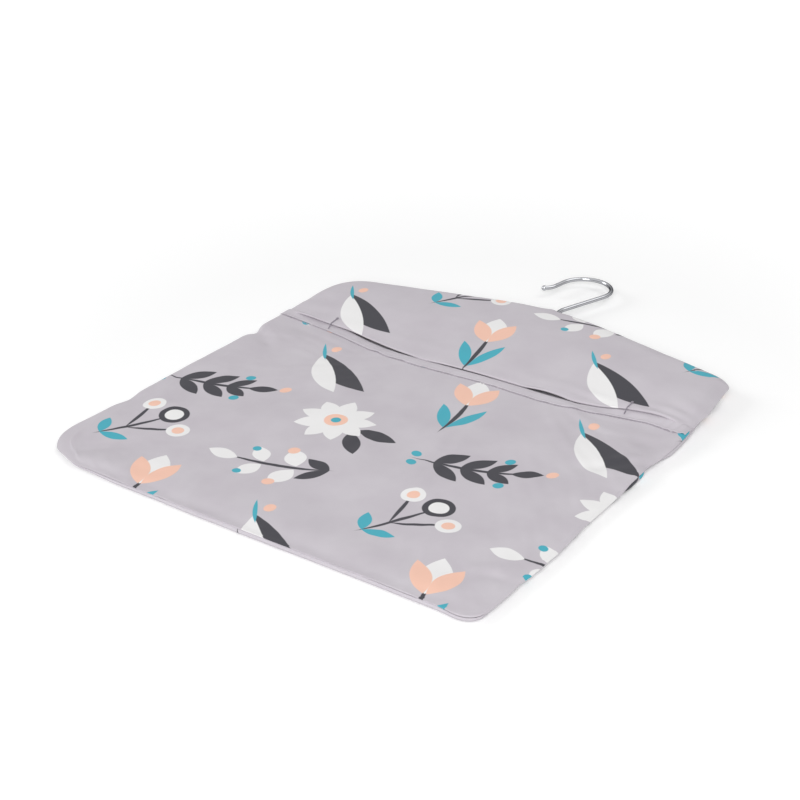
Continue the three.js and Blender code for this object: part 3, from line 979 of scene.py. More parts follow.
@dataclass
class Lie:
    """How the bag lies on the table: the height of its rim and seam all the way round."""

    path: SeamPath
    pucker: float = 0.35 * MM  # height of the small gathers that the stitches draw
    pucker_length: float = 17 * MM
    stations: tuple[Station, ...] = (
        Station("bottom_left", 0.0, 10.0, 3.9, 1.6, -0.5, 0.9),
        Station("bottom_left", 0.05, 7.0, 3.9, 2.0, 2.6, 0.7),
        Station("bottom_left", 0.1, 3.4, 4.0, 2.6, 2.4, 0.2),
        Station("bottom_left", 0.2, 1.6, 4.5, 3.4, 1.2),
        Station("bottom_left", 0.45, 1.4, 4.8, 3.9, 0.3),
        Station("bottom_left", 0.75, 1.4, 4.8, 3.9, 1.0),
        Station("bottom_left", 0.92, 1.5, 4.6, 3.6, 1.0),
        Station("bottom_right", 0.0, 1.8, 4.5, 3.0, -1.0),
        Station("bottom_right", 0.05, 2.6, 4.4, 2.9, 0.2, 0.6),
        Station("bottom_right", 0.12, 3.2, 4.4, 2.8, 0.0, 1.0),
        Station("bottom_right", 0.3, 3.5, 4.5, 2.8, -0.6, 1.0),
        Station("bottom_right", 0.47, 3.5, 4.7, 2.8, 1.6, 1.0),
        Station("bottom_right", 0.62, 3.2, 5.0, 3.0, 2.2, 1.0),
        Station("bottom_right", 0.69, 2.2, 6.2, 4.4, 3.2, 0.0),
        Station("bottom_right", 0.74, 2.4, 6.8, 4.6, 3.2, 0.0),
        Station("bottom_right", 0.81, 3.4, 5.6, 3.6, 2.4, 0.9),
        Station("bottom_right", 0.89, 2.8, 7.0, 5.0, 1.2, 0.0),
        Station("bottom_right", 0.95, 3.2, 8.0, 5.4, 1.8, 0.0),
        Station("mouth_right", 0.0, 4.6, 8.8, 5.6, 2.6, 0.0),
        Station("mouth_right", 0.16, 7.0, 10.6, 6.2, 2.6, 0.4),
        Station("mouth_right", 0.35, 10.0, 13.0, 7.0, 0.8, 1.0),
        Station("mouth_right", 0.6, 11.0, 14.4, 7.8, 1.8, 1.0),
        Station("mouth_right", 0.85, 11.0, 14.5, 8.2, 2.8, 1.0),
        Station("shoulder_right", 0.0, 10.0, 14.5, 8.2, 2.2, 0.8),
        Station("shoulder_right", 0.1, 9.0, 14.5, 7.2, -0.2),
        Station("peak", 0.0, 9.0, 14.5, 7.1),
        Station("shoulder_left", 0.0, 9.0, 14.5, 6.0, -0.4),
        Station("shoulder_left", 0.4, 8.5, 14.2, 5.0, -0.9),
        Station("shoulder_left", 0.75, 6.5, 11.5, 4.4, -0.4),
        Station("mouth_left", 0.0, 4.5, 9.0, 3.6),
        Station("mouth_left", 0.3, 3.5, 6.4, 2.2, 0.4),
        Station("mouth_left", 0.75, 3.5, 4.8, 1.8, 1.2),
        Station("mouth_left", 0.93, 9.0, 4.1, 1.6, -1.4, 0.9),
    )
    pinches: tuple[Pinch, ...] = (
        Pinch("mouth_left", 0.165, 4.0, 6, -2.4),
        Pinch("mouth_left", 0.69, 2.2, 9, -1.4),
        Pinch("bottom_right", 0.775, 1.8, 5, -1.4),
        Pinch("bottom_right", 0.16, 1.2, 5, -0.6),
    )

    def __post_init__(self) -> None:
        """Puts the stations in their order along the seam."""
        placed = [(self.path.place(s.corner, s.share) % self.path.total, s) for s in self.stations]
        self.placed = sorted(placed, key=lambda pair: pair[0])
        self.places = [place for place, _ in self.placed]

    def rim(self, along: float) -> Rim:
        """How the rim lies at a distance along the seam.

        Args:
            along: the distance along the seam

        Returns:
            the rim's lie
        """
        along %= self.path.total
        i = bisect.bisect_right(self.places, along) - 1
        start, first = self.placed[i]
        end, second = self.placed[(i + 1) % len(self.placed)]
        ease = smooth((along - start) % self.path.total, 0, (end - start) % self.path.total)
        wave = noise.noise(Vector((along / self.pucker_length, 0.5, 0.5)))
        shift = self.pucker * noise.noise(Vector((along / self.pucker_length, 7.5, 0.5)))
        crest = mix(first.crest, second.crest, ease) * MM + self.pucker * wave
        for pinch in self.pinches:
            away = along - self.path.place(pinch.corner, pinch.share) % self.path.total
            bell = math.exp(-((away / (pinch.length * MM)) ** 2))
            shift += pinch.inward * MM * bell
            crest += pinch.lift * MM * bell
        return Rim(
            mix(first.roll, second.roll, ease) * MM,
            crest,
            mix(first.seam, second.seam, ease) * MM,
            shift + mix(first.draw, second.draw, ease) * MM,
            mix(first.lip, second.lip, ease),
        )


class Face(Enum):
    """The two faces of the bag, with the way that their cloth looks."""

    FRONT = 1
    BACK = -1


# Edges of a cloth panel


class PanelEdge(ABC):
    """One of the four edges of a panel, as a function of a share from 0 to 1."""

    @abstractmethod
    def point(self, share: float) -> Vector:
        """The point at a share of the edge."""

    def along(self, share: float) -> float:
        """The distance along the seam, or -1 where the edge is no seam."""
        return -1.0


@dataclass(frozen=True)
class SeamEdge(PanelEdge):
    """An edge that runs just inside a stretch of the seam, where the cloth has turned level."""

    lie: Lie
    face: Face
    run: Callable[[float], float]

    def point(self, share: float) -> Vector:
        """The point at a share of the edge.

        Args:
            share: 0 to 1 along the edge

        Returns:
            the point
        """
        along = self.run(share)
        place, normal = self.lie.path.at(along)
        rim = self.lie.rim(along)
        height = rim.crest if self.face is Face.FRONT else 0.0
        under = 0.0 if self.face is Face.FRONT else rim.under
        return place - normal * (rim.roll + rim.shift + under) + UP * height

    def along(self, share: float) -> float:
        """The distance along the seam."""
        return self.run(share) % self.lie.path.total


def through(points: Sequence[tuple[float, float]], x: float) -> float:
    """A smooth curve through some points.

    Args:
        points: the points, from left to right
        x: place along the curve

    Returns:
        its height there
    """

    def slope(k: int) -> float:
        """The curve's slope at one of its points."""
        before, after = points[max(k - 1, 0)], points[min(k + 1, len(points) - 1)]
        return (after[1] - before[1]) / (after[0] - before[0])

    i = min(max(bisect.bisect_right([point[0] for point in points], x), 1), len(points) - 1)
    (x0, y0), (x1, y1) = points[i - 1], points[i]
    run = x1 - x0
    t = min(max((x - x0) / run, 0.0), 1.0)
    low = (1 + 2 * t) * y0 + t * run * slope(i - 1)
    high = (3 - 2 * t) * y1 + (t - 1) * run * slope(i)
    return (1 - t) ** 2 * low + t**2 * high


@dataclass(frozen=True)
class MouthPlace:
    """Where a free edge lies at one place across the bag, in millimetres.

    Attributes:
        x: place across the bag
        drop: how far it lies below the line between its ends
        height: its height over the table
    """

    x: float
    drop: float
    height: float


@dataclass(frozen=True)
class MouthEdge(PanelEdge):
    """A free edge at the mouth, which sags between the two side seams.

    Attributes:
        left: its end at the left side seam
        right: its end at the right side seam
        places: how it lies between them
    """

    left: Vector
    right: Vector
    places: tuple[MouthPlace, ...]

    def point(self, share: float) -> Vector:
        """The point at a share of the edge.

        Args:
            share: 0 to 1 along the edge

        Returns:
            the point
        """
        straight = self.left.lerp(self.right, share)
        ends = [MouthPlace(end.x / MM, 0.0, end.z / MM) for end in (self.left, self.right)]
        places = [ends[0], *self.places, ends[1]]
        drop = through([(place.x, place.drop) for place in places], straight.x / MM)
        height = through([(place.x, place.height) for place in places], straight.x / MM)
        return Vector((straight.x, straight.y - drop * MM, height * MM))


# Cloth


@dataclass(frozen=True)
class Drape:
    """A short cloth simulation that lets a panel fall on what lies under it."""

    frames: int = 45
    quality: int = 7
    slack: float = 0.004  # how much longer the cloth is than the space between its seams
    mass: float = 0.15
    damping: float = 4
    stretch: float = 20  # stiffness along the threads
    shear: float = 6
    stiffness: float = 0.6  # against bending
    friction: float = 12
    distance: float = 1 * MM  # kept from what it falls on
    most: float = 7 * MM  # farthest that a point may move

    def run(self, piece: bpy.types.Object, stops: Sequence[bpy.types.Object]) -> None:
        """Simulates the piece and writes the result into its mesh.

        Args:
            piece: a panel with a vertex group named held
            stops: what it falls on
        """
        scene = bpy.context.scene
        for stop in stops:
            stop.modifiers.new("stop", "COLLISION")
            stop.collision.thickness_outer = self.distance
            stop.collision.cloth_friction = self.friction
        cloth = piece.modifiers.new("drape", "CLOTH")
        settings = cloth.settings
        settings.quality = self.quality
        settings.mass = self.mass
        settings.air_damping = self.damping
        settings.tension_stiffness = self.stretch
        settings.compression_stiffness = self.stretch
        settings.shear_stiffness = self.shear
        settings.bending_stiffness = self.stiffness
        settings.shrink_min = -self.slack
        settings.vertex_group_mass = "held"
        cloth.collision_settings.distance_min = self.distance
        cloth.collision_settings.collision_quality = 3
        cloth.point_cache.frame_start = 1
        cloth.point_cache.frame_end = self.frames
        for number in range(1, self.frames + 1):
            scene.frame_set(number)
        fallen = piece.evaluated_get(bpy.context.evaluated_depsgraph_get())
        places = [vert.co.copy() for vert in fallen.data.vertices]
        piece.modifiers.remove(cloth)
        scene.frame_set(1)
        for vert, place in zip(piece.data.vertices, places):
            move = place - vert.co
            if move.length > self.most:
                move *= self.most / move.length
            vert.co += move
        for stop in stops:
            stop.modifiers.clear()


class ClothPanel:
    """A panel of cloth: a fine grid between four edges, and the rims that turn over to its seams."""

    RIM_TURNS = (70, 50, 32, 16, 0, -25, -55)  # degrees round the rim's section, from level to the seam
    TUCK = 1.2 * MM  # size of the last turn, into the seam
    STEM_GAP = 2.4 * MM  # how far the seam opens on each side of the hook's stem
    STEM_REACH = 3.6 * MM
    ALONG, HELD = "along", "held"

    def __init__(
        self,
        name: str,
        lie: Lie,
        face: Face,
        edges: dict[str, PanelEdge],
        cells: tuple[int, int],
        settle: Callable[[Vector], Vector],
        cut_shift: Vector | None = None,
        row_ease: float = 1.0,
    ) -> None:
        """Lays out the panel.

        Args:
            name: name of the piece
            lie: how the bag lies
            face: which side of the bag it is
            edges: its bottom, right, top and left edge
            cells: number of cells across and up
            settle: moves a point of the plain grid to where the cloth lies
            cut_shift: how far from the bag's own place it was cut from the printed cloth
            row_ease: above 1 where the rows of cells lie closer together at the bottom edge
        """
        self.name = name
        self.lie = lie
        self.face = face
        self.edges = edges
        self.cells = cells
        self.settle = settle
        self.cut_shift = cut_shift or Vector()
        self.row_ease = row_ease
        low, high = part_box("hook_washer")
        self.stem = (low + high) / 2

    def grid_points(self) -> dict[tuple[int, int], tuple[Vector, float]]:
        """Places the grid between its four edges.

        Returns:
            for each column and row, the point and its distance along the seam, which is -1 off the seam
        """
        wide, tall = self.cells
        bottom, right, top, left = (self.edges[key] for key in ("bottom", "right", "top", "left"))
        lows, highs = ([edge.point(i / wide) for i in range(wide + 1)] for edge in (bottom, top))
        rows = [(j / tall) ** self.row_ease for j in range(tall + 1)]
        lefts, rights = ([edge.point(v) for v in rows] for edge in (left, right))
        points = {}
        for i in range(wide + 1):
            for j in range(tall + 1):
                u, v = i / wide, rows[j]
                if i in (0, wide):
                    edge = right if i else left
                    points[i, j] = (edge.point(v), edge.along(v))
                elif j in (0, tall):
                    edge = top if j else bottom
                    points[i, j] = (edge.point(u), edge.along(u))
                else:
                    corners = lows[0].lerp(lows[-1], u).lerp(highs[0].lerp(highs[-1], u), v)
                    between = lows[i].lerp(highs[i], v) + lefts[j].lerp(rights[j], u) - corners
                    points[i, j] = (self.settle(between), -1.0)
        return points

    def build(self) -> bpy.types.Object:
        """Builds the panel's outer face.

        Returns:
            the object, with the attributes that its finish and its drape need
        """
        maker = bmesh.new()
        bmesh.ops.create_grid(maker, x_segments=self.cells[0], y_segments=self.cells[1], size=0.5)
        along = maker.verts.layers.float.new(self.ALONG)
        held = maker.verts.layers.float.new(self.HELD)
        flat = maker.verts.layers.float_vector.new(CLOTH_PLACE)
        points = self.grid_points()
        for vert in maker.verts:
            on_free_edge = abs(vert.co.y) > 0.5 - 1e-6
            column, row = round((vert.co.x + 0.5) * self.cells[0]), round((vert.co.y + 0.5) * self.cells[1])
            vert.co, vert[along] = points[column, row]
            vert[flat] = Vector((vert.co.x, vert.co.y, 0)) + self.cut_shift
            vert[held] = 1.0 if vert[along] >= 0 or on_free_edge else 0.0
        self.roll_rims(maker)
        bmesh.ops.recalc_face_normals(maker, faces=maker.faces)
        if sum(face.normal.z * face.calc_area() for face in maker.faces) * self.face.value < 0:
            bmesh.ops.reverse_faces(maker, faces=maker.faces)
        piece = new_object(self.name, maker)
        group = piece.vertex_groups.new(name=self.HELD)
        for index, entry in enumerate(piece.data.attributes[self.HELD].data):
            group.add([index], entry.value, "REPLACE")
        return piece

    def roll_rims(self, maker: bmesh.types.BMesh) -> None:
        """Extrudes the seam edges round the rim, row by row, down or up to the seam line.

        Args:
            maker: the panel's bmesh
        """
        along = maker.verts.layers.float[self.ALONG]
        flat = maker.verts.layers.float_vector[CLOTH_PLACE]
        edges = [e for e in maker.edges if e.is_boundary and all(v[along] >= 0 for v in e.verts)]
        for turn in self.RIM_TURNS:
            made = bmesh.ops.extrude_edge_only(maker, edges=edges)["geom"]
            verts = {item for item in made if isinstance(item, bmesh.types.BMVert)}
            edges = edges_between(made, verts)
            for vert in verts:
                place, normal = self.lie.path.at(vert[along])
                lands = self.rim_point(vert[along], place, normal, math.radians(turn))
                vert[flat] += normal * (lands - vert.co).length
                vert.co = lands

    def rim_point(self, along: float, place: Vector, normal: Vector, turn: float) -> Vector:
        """A point of the rim.

        Args:
            along: distance along the seam
            place: the outline there
            normal: its outward normal
            turn: angle round the rim's section, a right angle where it is level and below 0 at the seam

        Returns:
            the point
        """
        rim = self.lie.rim(along)
        way = self.face.value
        tuck = self.TUCK * math.sin(math.radians(-self.RIM_TURNS[-1]))
        widest = rim.seam + way * tuck
        level = rim.crest if self.face is Face.FRONT else 0.0
        under = 0.0 if self.face is Face.FRONT else rim.under
        if turn < 0:
            inset = self.TUCK * (1 - math.cos(turn))
            height = widest + way * self.TUCK * math.sin(turn)
            if self.face is Face.FRONT:
                under = rim.under * turn / math.radians(self.RIM_TURNS[-1])
        else:
            inset = rim.roll * (1 - math.cos(turn)) ** (1 - 0.5 * rim.lip)
            height = mix(widest, level, math.sin(turn))
        inset += under
        gap = self.stem_gap(place)
        return place - normal * (inset + rim.shift) + UP * (height + way * gap * math.cos(turn))

    def stem_gap(self, place: Vector) -> float:
        """How far the cloth stands off the seam where the hook's stem comes out."""
        if place.y < self.stem.y:
            return 0.0
        return self.STEM_GAP * math.exp(-(((place.x - self.stem.x) / self.STEM_REACH) ** 2))


def thicken(piece: bpy.types.Object, thickness: float = CLOTH) -> None:
    """Gives a sheet its thickness, inwards from its outer face, and one subdivision.

    Args:
        piece: the sheet
        thickness: its thickness
    """
    shell = piece.modifiers.new("thickness", "SOLIDIFY")
    shell.thickness = thickness
    shell.offset = -1
    shell.material_offset = 1
    rounding = piece.modifiers.new("rounding", "SUBSURF")
    rounding.levels = 1
    rounding.render_levels = 1


def dress(piece: bpy.types.Object, *finishes: Finish) -> None:
    """Gives a piece its materials."""
    for finish in finishes:
        piece.data.materials.append(finish.material())


class ClothTop:
    """The upper face of a finished panel, to lay other pieces on."""

    def __init__(self, piece: bpy.types.Object) -> None:
        """Takes the panel's mesh as it lies.

        Args:
            piece: the panel
        """
        maker = bmesh.new()
        maker.from_mesh(piece.data)
        self.tree = BVHTree.FromBMesh(maker)
        maker.free()

    def lay(self, x: float, y: float, lift: float = 0.0) -> tuple[Vector, Vector]:
        """A point on the cloth.

        Args:
            x: place across the bag
            y: place up the bag
            lift: how far above the cloth the point lies

        Returns:
            the point, and the cloth's normal there
        """
        above = Vector((x, y, 0.1))
        hit, normal, *_ = self.tree.ray_cast(above, -UP)
        if hit is None:
            hit, normal, *_ = self.tree.find_nearest(Vector((x, y, 0.01)))
        if normal.z < 0:
            normal = -normal
        return hit + normal * lift, normal

    def height(self, x: float, y: float) -> float:
        """How high the cloth is at a place, without limit where there is none."""
        hit, *_ = self.tree.ray_cast(Vector((x, y, 0.1)), -UP)
        return math.inf if hit is None else hit.z


@dataclass(frozen=True)
class Dent:
    """A soft dent or rise of the cloth, in millimetres from the middle of the bottom seam.

    Attributes:
        x: place of its middle across the bag
        y: place of its middle up the bag
        length: half length
        width: half width
        turn: degrees that its length is turned from the bottom seam
        height: height of its middle, below 0 for a dent
    """

    x: float
    y: float
    length: float
    width: float
    turn: float
    height: float

    def height_at(self, x: float, y: float) -> float:
        """How much it lifts a point, in metres."""
        away = Matrix.Rotation(-math.radians(self.turn), 2) @ Vector((x / MM - self.x, y / MM - self.y))
        return self.height * MM * math.exp(-((away.x / self.length) ** 2) - (away.y / self.width) ** 2)


@dataclass
class Bag:
    """The cloth of the bag: back, pocket and yoke, with the yoke's lower edge turned inside."""

    outline: BagOutline = field(default_factory=BagOutline)
    drape: Drape = field(default_factory=Drape)
    cell: float = 4.2 * MM  # size of a panel's cells
    # How far from the bag's own place each panel was cut from the printed cloth
    back_cut: Vector = field(default_factory=lambda: Vector((120, 96, 0)) * MM)
    pocket_cut: Vector = field(default_factory=lambda: Vector((205, 132, 0)) * MM)
    yoke_cut: Vector = field(default_factory=lambda: Vector((15, 42, 0)) * MM)
    back_wave: float = 0.4 * MM  # how far the back rises off the table here and there
    back_wave_length: float = 70 * MM
    pocket_rest: float = 4.0 * MM  # height of the pocket's front where it lies on the back
    pocket_least: float = 2.2 * MM  # the lowest that it can lie
    sink_length: float = 30 * MM  # how far from the seam it has sunk to its rest
    mouth_reach: float = 70 * MM  # how far below the mouth it rises to the free edge
    pocket_mouth: tuple[MouthPlace, ...] = (
        MouthPlace(-165, -4.0, 7.6),
        MouthPlace(-147, -3.7, 6.0),
        MouthPlace(-122, 0.1, 4.6),
        MouthPlace(-95, 6.4, 3.8),
        MouthPlace(-70, 9.9, 3.6),
        MouthPlace(-45, 10.1, 3.5),
        MouthPlace(0, 7.4, 3.5),
        MouthPlace(45, 6.5, 3.5),
        MouthPlace(90, 6.3, 3.6),
        MouthPlace(105, 4.2, 4.3),
        MouthPlace(120, -0.2, 5.3),
        MouthPlace(135, -3.6, 6.5),
        MouthPlace(150, -5.8, 7.5),
    )
    yoke_mouth: tuple[MouthPlace, ...] = (
        MouthPlace(-164, 0.5, 9.9),
        MouthPlace(-138, 0.8, 8.4),
        MouthPlace(-117, 1.8, 8.0),
        MouthPlace(-95, 5.7, 7.9),
        MouthPlace(-70, 9.1, 7.4),
        MouthPlace(-55, 10.0, 7.0),
        MouthPlace(-42, 10.3, 6.4),
        MouthPlace(-30, 9.5, 6.9),
        MouthPlace(-15, 8.5, 7.3),
        MouthPlace(8, 7.8, 7.5),
        MouthPlace(30, 8.0, 7.5),
        MouthPlace(47, 6.4, 6.8),
        MouthPlace(62, 5.0, 7.8),
        MouthPlace(76, 4.6, 7.1),
        MouthPlace(90, 6.0, 6.5),
        MouthPlace(110, 3.3, 7.4),
        MouthPlace(130, -1.8, 9.0),
        MouthPlace(155, -3.2, 10.5),
    )
    hanger_drop: float = 15 * MM  # how far the hanger can drop inside the yoke
    hanger_cover: float = 14.6 * MM  # height of the yoke over the hanger
    cover_slack: float = 1.2 * MM  # cloth within this of that height lies on the hanger
    cover_dip: float = 0.1 * MM  # how far waves may lower it there
    cover_ease: float = 0.4 * MM  # softness of the bend where the yoke meets the hanger
    hanger_rise: float = 30 * MM  # how much higher the hanger's lower edge is in its middle
    tip_corner: float = 10 * MM  # radius of the hanger's lower corners
    yoke_height: float = 110 * MM
    yoke_row_ease: float = 1.4
    hem_fold: float = 0.85 * MM  # radius of the fold at the yoke's lower edge
    hem_depth: float = 12 * MM
    ridge: float = 1.0 * MM  # the edges turned inside lift the pocket beside its seams
    ridge_inset: float = 20 * MM
    ridge_width: float = 18 * MM
    seam_fade: tuple[float, float] = (2 * MM, 14 * MM)  # from a seam, where waves and dents set in
    mouth_fade: tuple[float, float] = (14 * MM, 50 * MM)  # below the mouth, where the seams' lift sets in
    side_fade: tuple[float, float] = (14 * MM, 45 * MM)  # from a side seam, where the yoke is taut
    wave: float = 0.9 * MM  # height of the cloth's faint waves
    wave_length: float = 46 * MM
    dents: tuple[Dent, ...] = (
        Dent(-149, 24, 13, 8, 60, -1.6),
        Dent(-124, 13, 20, 8, 0, 0.7),
        Dent(-97, 23, 14, 8, 20, -0.9),
        Dent(-172, 96, 9, 22, 15, -1.7),
        Dent(-142, 106, 24, 16, 10, 1.2),
        Dent(-168, 236, 18, 4.5, -38, -2.2),
        Dent(-158, 256, 24, 7, -30, 0.8),
        Dent(164, 222, 20, 4.5, 38, 2.0),
        Dent(150, 204, 22, 8, 60, -1.8),
        Dent(168, 206, 12, 4, 42, 1.2),
        Dent(166, 250, 20, 6, -8, -1.1),
        Dent(158, 262, 18, 3.5, 0, 0.7),
        Dent(170, 46, 14, 4.5, 25, -1.1),
        Dent(168, 56, 16, 5, 25, 0.8),
        Dent(-60, 150, 14, 44, -25, 1.3),
        Dent(-92, 168, 16, 44, -25, -1.1),
        Dent(70, 120, 40, 30, 15, 0.8),
        Dent(20, 60, 34, 22, -15, -0.7),
        Dent(110, 60, 30, 24, 30, 0.7),
        Dent(0, 200, 30, 20, 20, -0.7),
        Dent(90, 200, 26, 20, 0, 0.7),
    )
    yoke_dents: tuple[Dent, ...] = (
        Dent(150, 288, 26, 2.2, -4, 0.55),
        Dent(152, 292.5, 26, 2.0, -5, -0.5),
        Dent(158, 297, 20, 2.2, -7, 0.45),
        Dent(166, 302, 12, 2.4, -12, -0.4),
        Dent(-150, 296, 24, 6, 8, -0.6),
        Dent(100, 285.5, 16, 2.4, -8, -0.7),
        Dent(98, 290, 18, 3, -8, 0.6),
        Dent(60, 292, 60, 4, -2, 0.5),
        Dent(-60, 293, 60, 4, 3, 0.5),
    )

    def __post_init__(self) -> None:
        """Works out the seam and where the panels meet."""
        self.path = SeamPath(self.outline.corners())
        self.lie = Lie(self.path)
        low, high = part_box("back_panel")
        self.bottom = low.y
        self.half = (high.x - low.x) / 2
        self.mouth_y = low.y + (self.outline.left_mouth + self.outline.right_mouth) / 2
        self.hanger_low, self.hanger_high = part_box("hanger_bar")

    def seam_edge(self, face: Face, start: str, end: str, clockwise: bool = False) -> SeamEdge:
        """The edge of a panel along a stretch of the seam."""
        return SeamEdge(self.lie, face, self.path.stretch(start, end, clockwise))

    def from_seam(self, point: Vector) -> float:
        """How far a point of the pocket lies from the nearest of its three seams."""
        return min(self.half - abs(point.x), point.y - self.bottom)

    def settle_pocket(self, point: Vector) -> Vector:
        """Sinks the pocket's front on to the back, away from the seams.

        Args:
            point: a point of the flat panel

        Returns:
            where it lies
        """
        held = math.exp(-max(self.from_seam(point), 0) / self.sink_length)
        to_mouth = smooth(self.mouth_y - point.y, self.mouth_reach, 0)
        point.z = mix(self.pocket_rest, point.z, max(held, to_mouth))
        return point

    def ripple(self, piece: bpy.types.Object, dents: Sequence[Dent], ridge: float) -> None:
        """Adds a panel's dents, its lift beside the seams and its faint waves.

        Args:
            piece: the panel
            dents: its dents and rises
            ridge: how far it is lifted beside its seams
        """
        held = piece.data.attributes[ClothPanel.HELD].data
        along = piece.data.attributes[ClothPanel.ALONG].data
        for vert in piece.data.vertices:
            if along[vert.index].value >= 0 or held[vert.index].value > 0.5:
                continue
            inset = self.from_seam(vert.co)
            free = smooth(inset, *self.seam_fade)
            lift = ridge * math.exp(-(((inset - self.ridge_inset) / self.ridge_width) ** 2))
            lift *= smooth(self.mouth_y - vert.co.y, *self.mouth_fade)
            lift += self.wave * noise.noise(vert.co * (1 / self.wave_length))
            lift += 0.3 * self.wave * noise.noise(vert.co * (2.3 / self.wave_length))
            lift += sum(dent.height_at(vert.co.x, vert.co.y - self.bottom) for dent in dents)
            over_hanger = vert.co.z > self.hanger_cover - self.cover_slack
            least = -self.cover_dip if over_hanger else self.pocket_least - vert.co.z
            vert.co.z += max(lift * free, least)

    def settle_yoke(self, point: Vector) -> Vector:
        """Stretches the yoke from the mouth up to the hanger, clear of the way that it can drop.

        Args:
            point: a point of the flat panel

        Returns:
            where it lies
        """
        reach = self.hanger_high.x - self.tip_corner
        tip_low = self.hanger_low.y - self.hanger_drop
        lower = mix(tip_low + self.hanger_rise, tip_low, min(abs(point.x) / reach, 1.0))
        start = self.mouth_line.point(min(max(0.5 + point.x / (2 * self.half), 0.0), 1.0))
        line = mix(start.z, self.hanger_cover, (point.y - start.y) / (lower - start.y))
        over = (line - self.hanger_cover) / self.cover_ease
        taut = line - self.cover_ease * math.log1p(math.exp(min(over, 60.0)))
        inside = smooth(self.half - abs(point.x), *self.side_fade)
        point.z = mix(point.z, taut, inside)
        return point

    def settle_back(self, point: Vector) -> Vector:
        """Lets the back lie on the table, a hair above it here and there."""
        point.z = max(0.0, noise.noise(point * (1 / self.back_wave_length))) * self.back_wave
        return point

    def cells(self, wide: float, tall: float) -> tuple[int, int]:
        """The number of cells across and up a panel of that size."""
        return round(wide / self.cell), round(tall / self.cell)

    def make_back(self) -> bpy.types.Object:
        """The back, one whole panel.

        Returns:
            the back
        """
        edges = {
            "bottom": self.seam_edge(Face.BACK, "bottom_left", "bottom_right"),
            "right": self.seam_edge(Face.BACK, "bottom_right", "shoulder_right"),
            "top": self.seam_edge(Face.BACK, "shoulder_left", "shoulder_right", clockwise=True),
            "left": self.seam_edge(Face.BACK, "bottom_left", "shoulder_left", clockwise=True),
        }
        low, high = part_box("back_panel")
        size = self.cells(high.x - low.x, high.y - low.y)
        panel = ClothPanel("back_cloth", self.lie, Face.BACK, edges, size, self.settle_back, self.back_cut)
        piece = panel.build()
        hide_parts("back_panel")
        return piece

    def make_pocket(self) -> bpy.types.Object:
        """The front below the mouth.

        Returns:
            the pocket's front
        """
        left = self.seam_edge(Face.FRONT, "bottom_left", "mouth_left", clockwise=True)
        right = self.seam_edge(Face.FRONT, "bottom_right", "mouth_right")
        edges = {
            "bottom": self.seam_edge(Face.FRONT, "bottom_left", "bottom_right"),
            "right": right,
            "top": MouthEdge(left.point(1), right.point(1), self.pocket_mouth),
            "left": left,
        }
        size = self.cells(2 * self.half, self.outline.right_mouth)
        panel = ClothPanel(
            "pocket_cloth", self.lie, Face.FRONT, edges, size, self.settle_pocket, self.pocket_cut
        )
        piece = panel.build()
        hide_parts("front_panel")
        return piece

    def make_yoke(self) -> bpy.types.Object:
        """The front above the mouth, over the hanger.

        Returns:
            the yoke
        """
        left = self.seam_edge(Face.FRONT, "mouth_left", "shoulder_left", clockwise=True)
        right = self.seam_edge(Face.FRONT, "mouth_right", "shoulder_right")
        self.mouth_line = MouthEdge(left.point(0), right.point(0), self.yoke_mouth)
        edges = {
            "bottom": self.mouth_line,
            "right": right,
            "top": self.seam_edge(Face.FRONT, "shoulder_left", "shoulder_right", clockwise=True),
            "left": left,
        }
        size = self.cells(2 * self.half, self.yoke_height)
        settle, cut, ease = self.settle_yoke, self.yoke_cut, self.yoke_row_ease
        panel = ClothPanel("yoke_cloth", self.lie, Face.FRONT, edges, size, settle, cut, ease)
        piece = panel.build()
        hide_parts("front_yoke", "yoke_hem")
        return piece

    def table_stop(self) -> bpy.types.Object:
        """A level stop just above the back's inner face.

        Returns:
            the stop
        """
        maker = bmesh.new()
        bmesh.ops.create_grid(maker, x_segments=2, y_segments=2, size=0.4)
        bmesh.ops.translate(maker, verts=maker.verts, vec=UP * self.pocket_least)
        return new_object("table_stop", maker)

    def turn_hem(self, piece: bpy.types.Object) -> None:
        """Folds the yoke's lower edge inside, row by row.

        Args:
            piece: the yoke
        """
        maker = bmesh.new()
        maker.from_mesh(piece.data)
        along = maker.verts.layers.float[ClothPanel.ALONG]
        flat = maker.verts.layers.float_vector[CLOTH_PLACE]
        mark = maker.verts.layers.int.new("hem")
        edges = [e for e in maker.edges if e.is_boundary and any(v[along] < 0 for v in e.verts)]
        frames = {}
        for vert in sorted({v for e in edges for v in e.verts}, key=lambda v: v.co.x):
            inward = Vector((0, 1, 0))
            inward = (inward - vert.normal * inward.dot(vert.normal)).normalized()
            frames[len(frames) + 1] = (vert.co.copy(), vert.normal.copy(), inward)
            vert[mark] = len(frames)
        rows = [(math.sin(turn), 1 - math.cos(turn), 0.0) for turn in (math.pi * k / 4 for k in range(1, 5))]
        rows += [(0.0, 2.0, self.hem_depth * share) for share in (0.25, 0.6, 1.0)]
        for out, under, back in rows:
            made = bmesh.ops.extrude_edge_only(maker, edges=edges)["geom"]
            verts = {item for item in made if isinstance(item, bmesh.types.BMVert)}
            edges = edges_between(made, verts)
            for vert in verts:
                place, normal, inward = frames[vert[mark]]
                if back:
                    place, normal = self.yoke_top.lay(place.x, place.y + back)
                lands = place - inward * out * self.hem_fold - normal * under * self.hem_fold
                vert[flat] -= Vector((0, (lands - vert.co).length, 0))
                vert.co = lands
        bmesh.ops.recalc_face_normals(maker, faces=maker.faces)
        if sum(face.normal.z * face.calc_area() for face in maker.faces) < 0:
            bmesh.ops.reverse_faces(maker, faces=maker.faces)
        put_in_order(maker)
        maker.to_mesh(piece.data)
        maker.free()

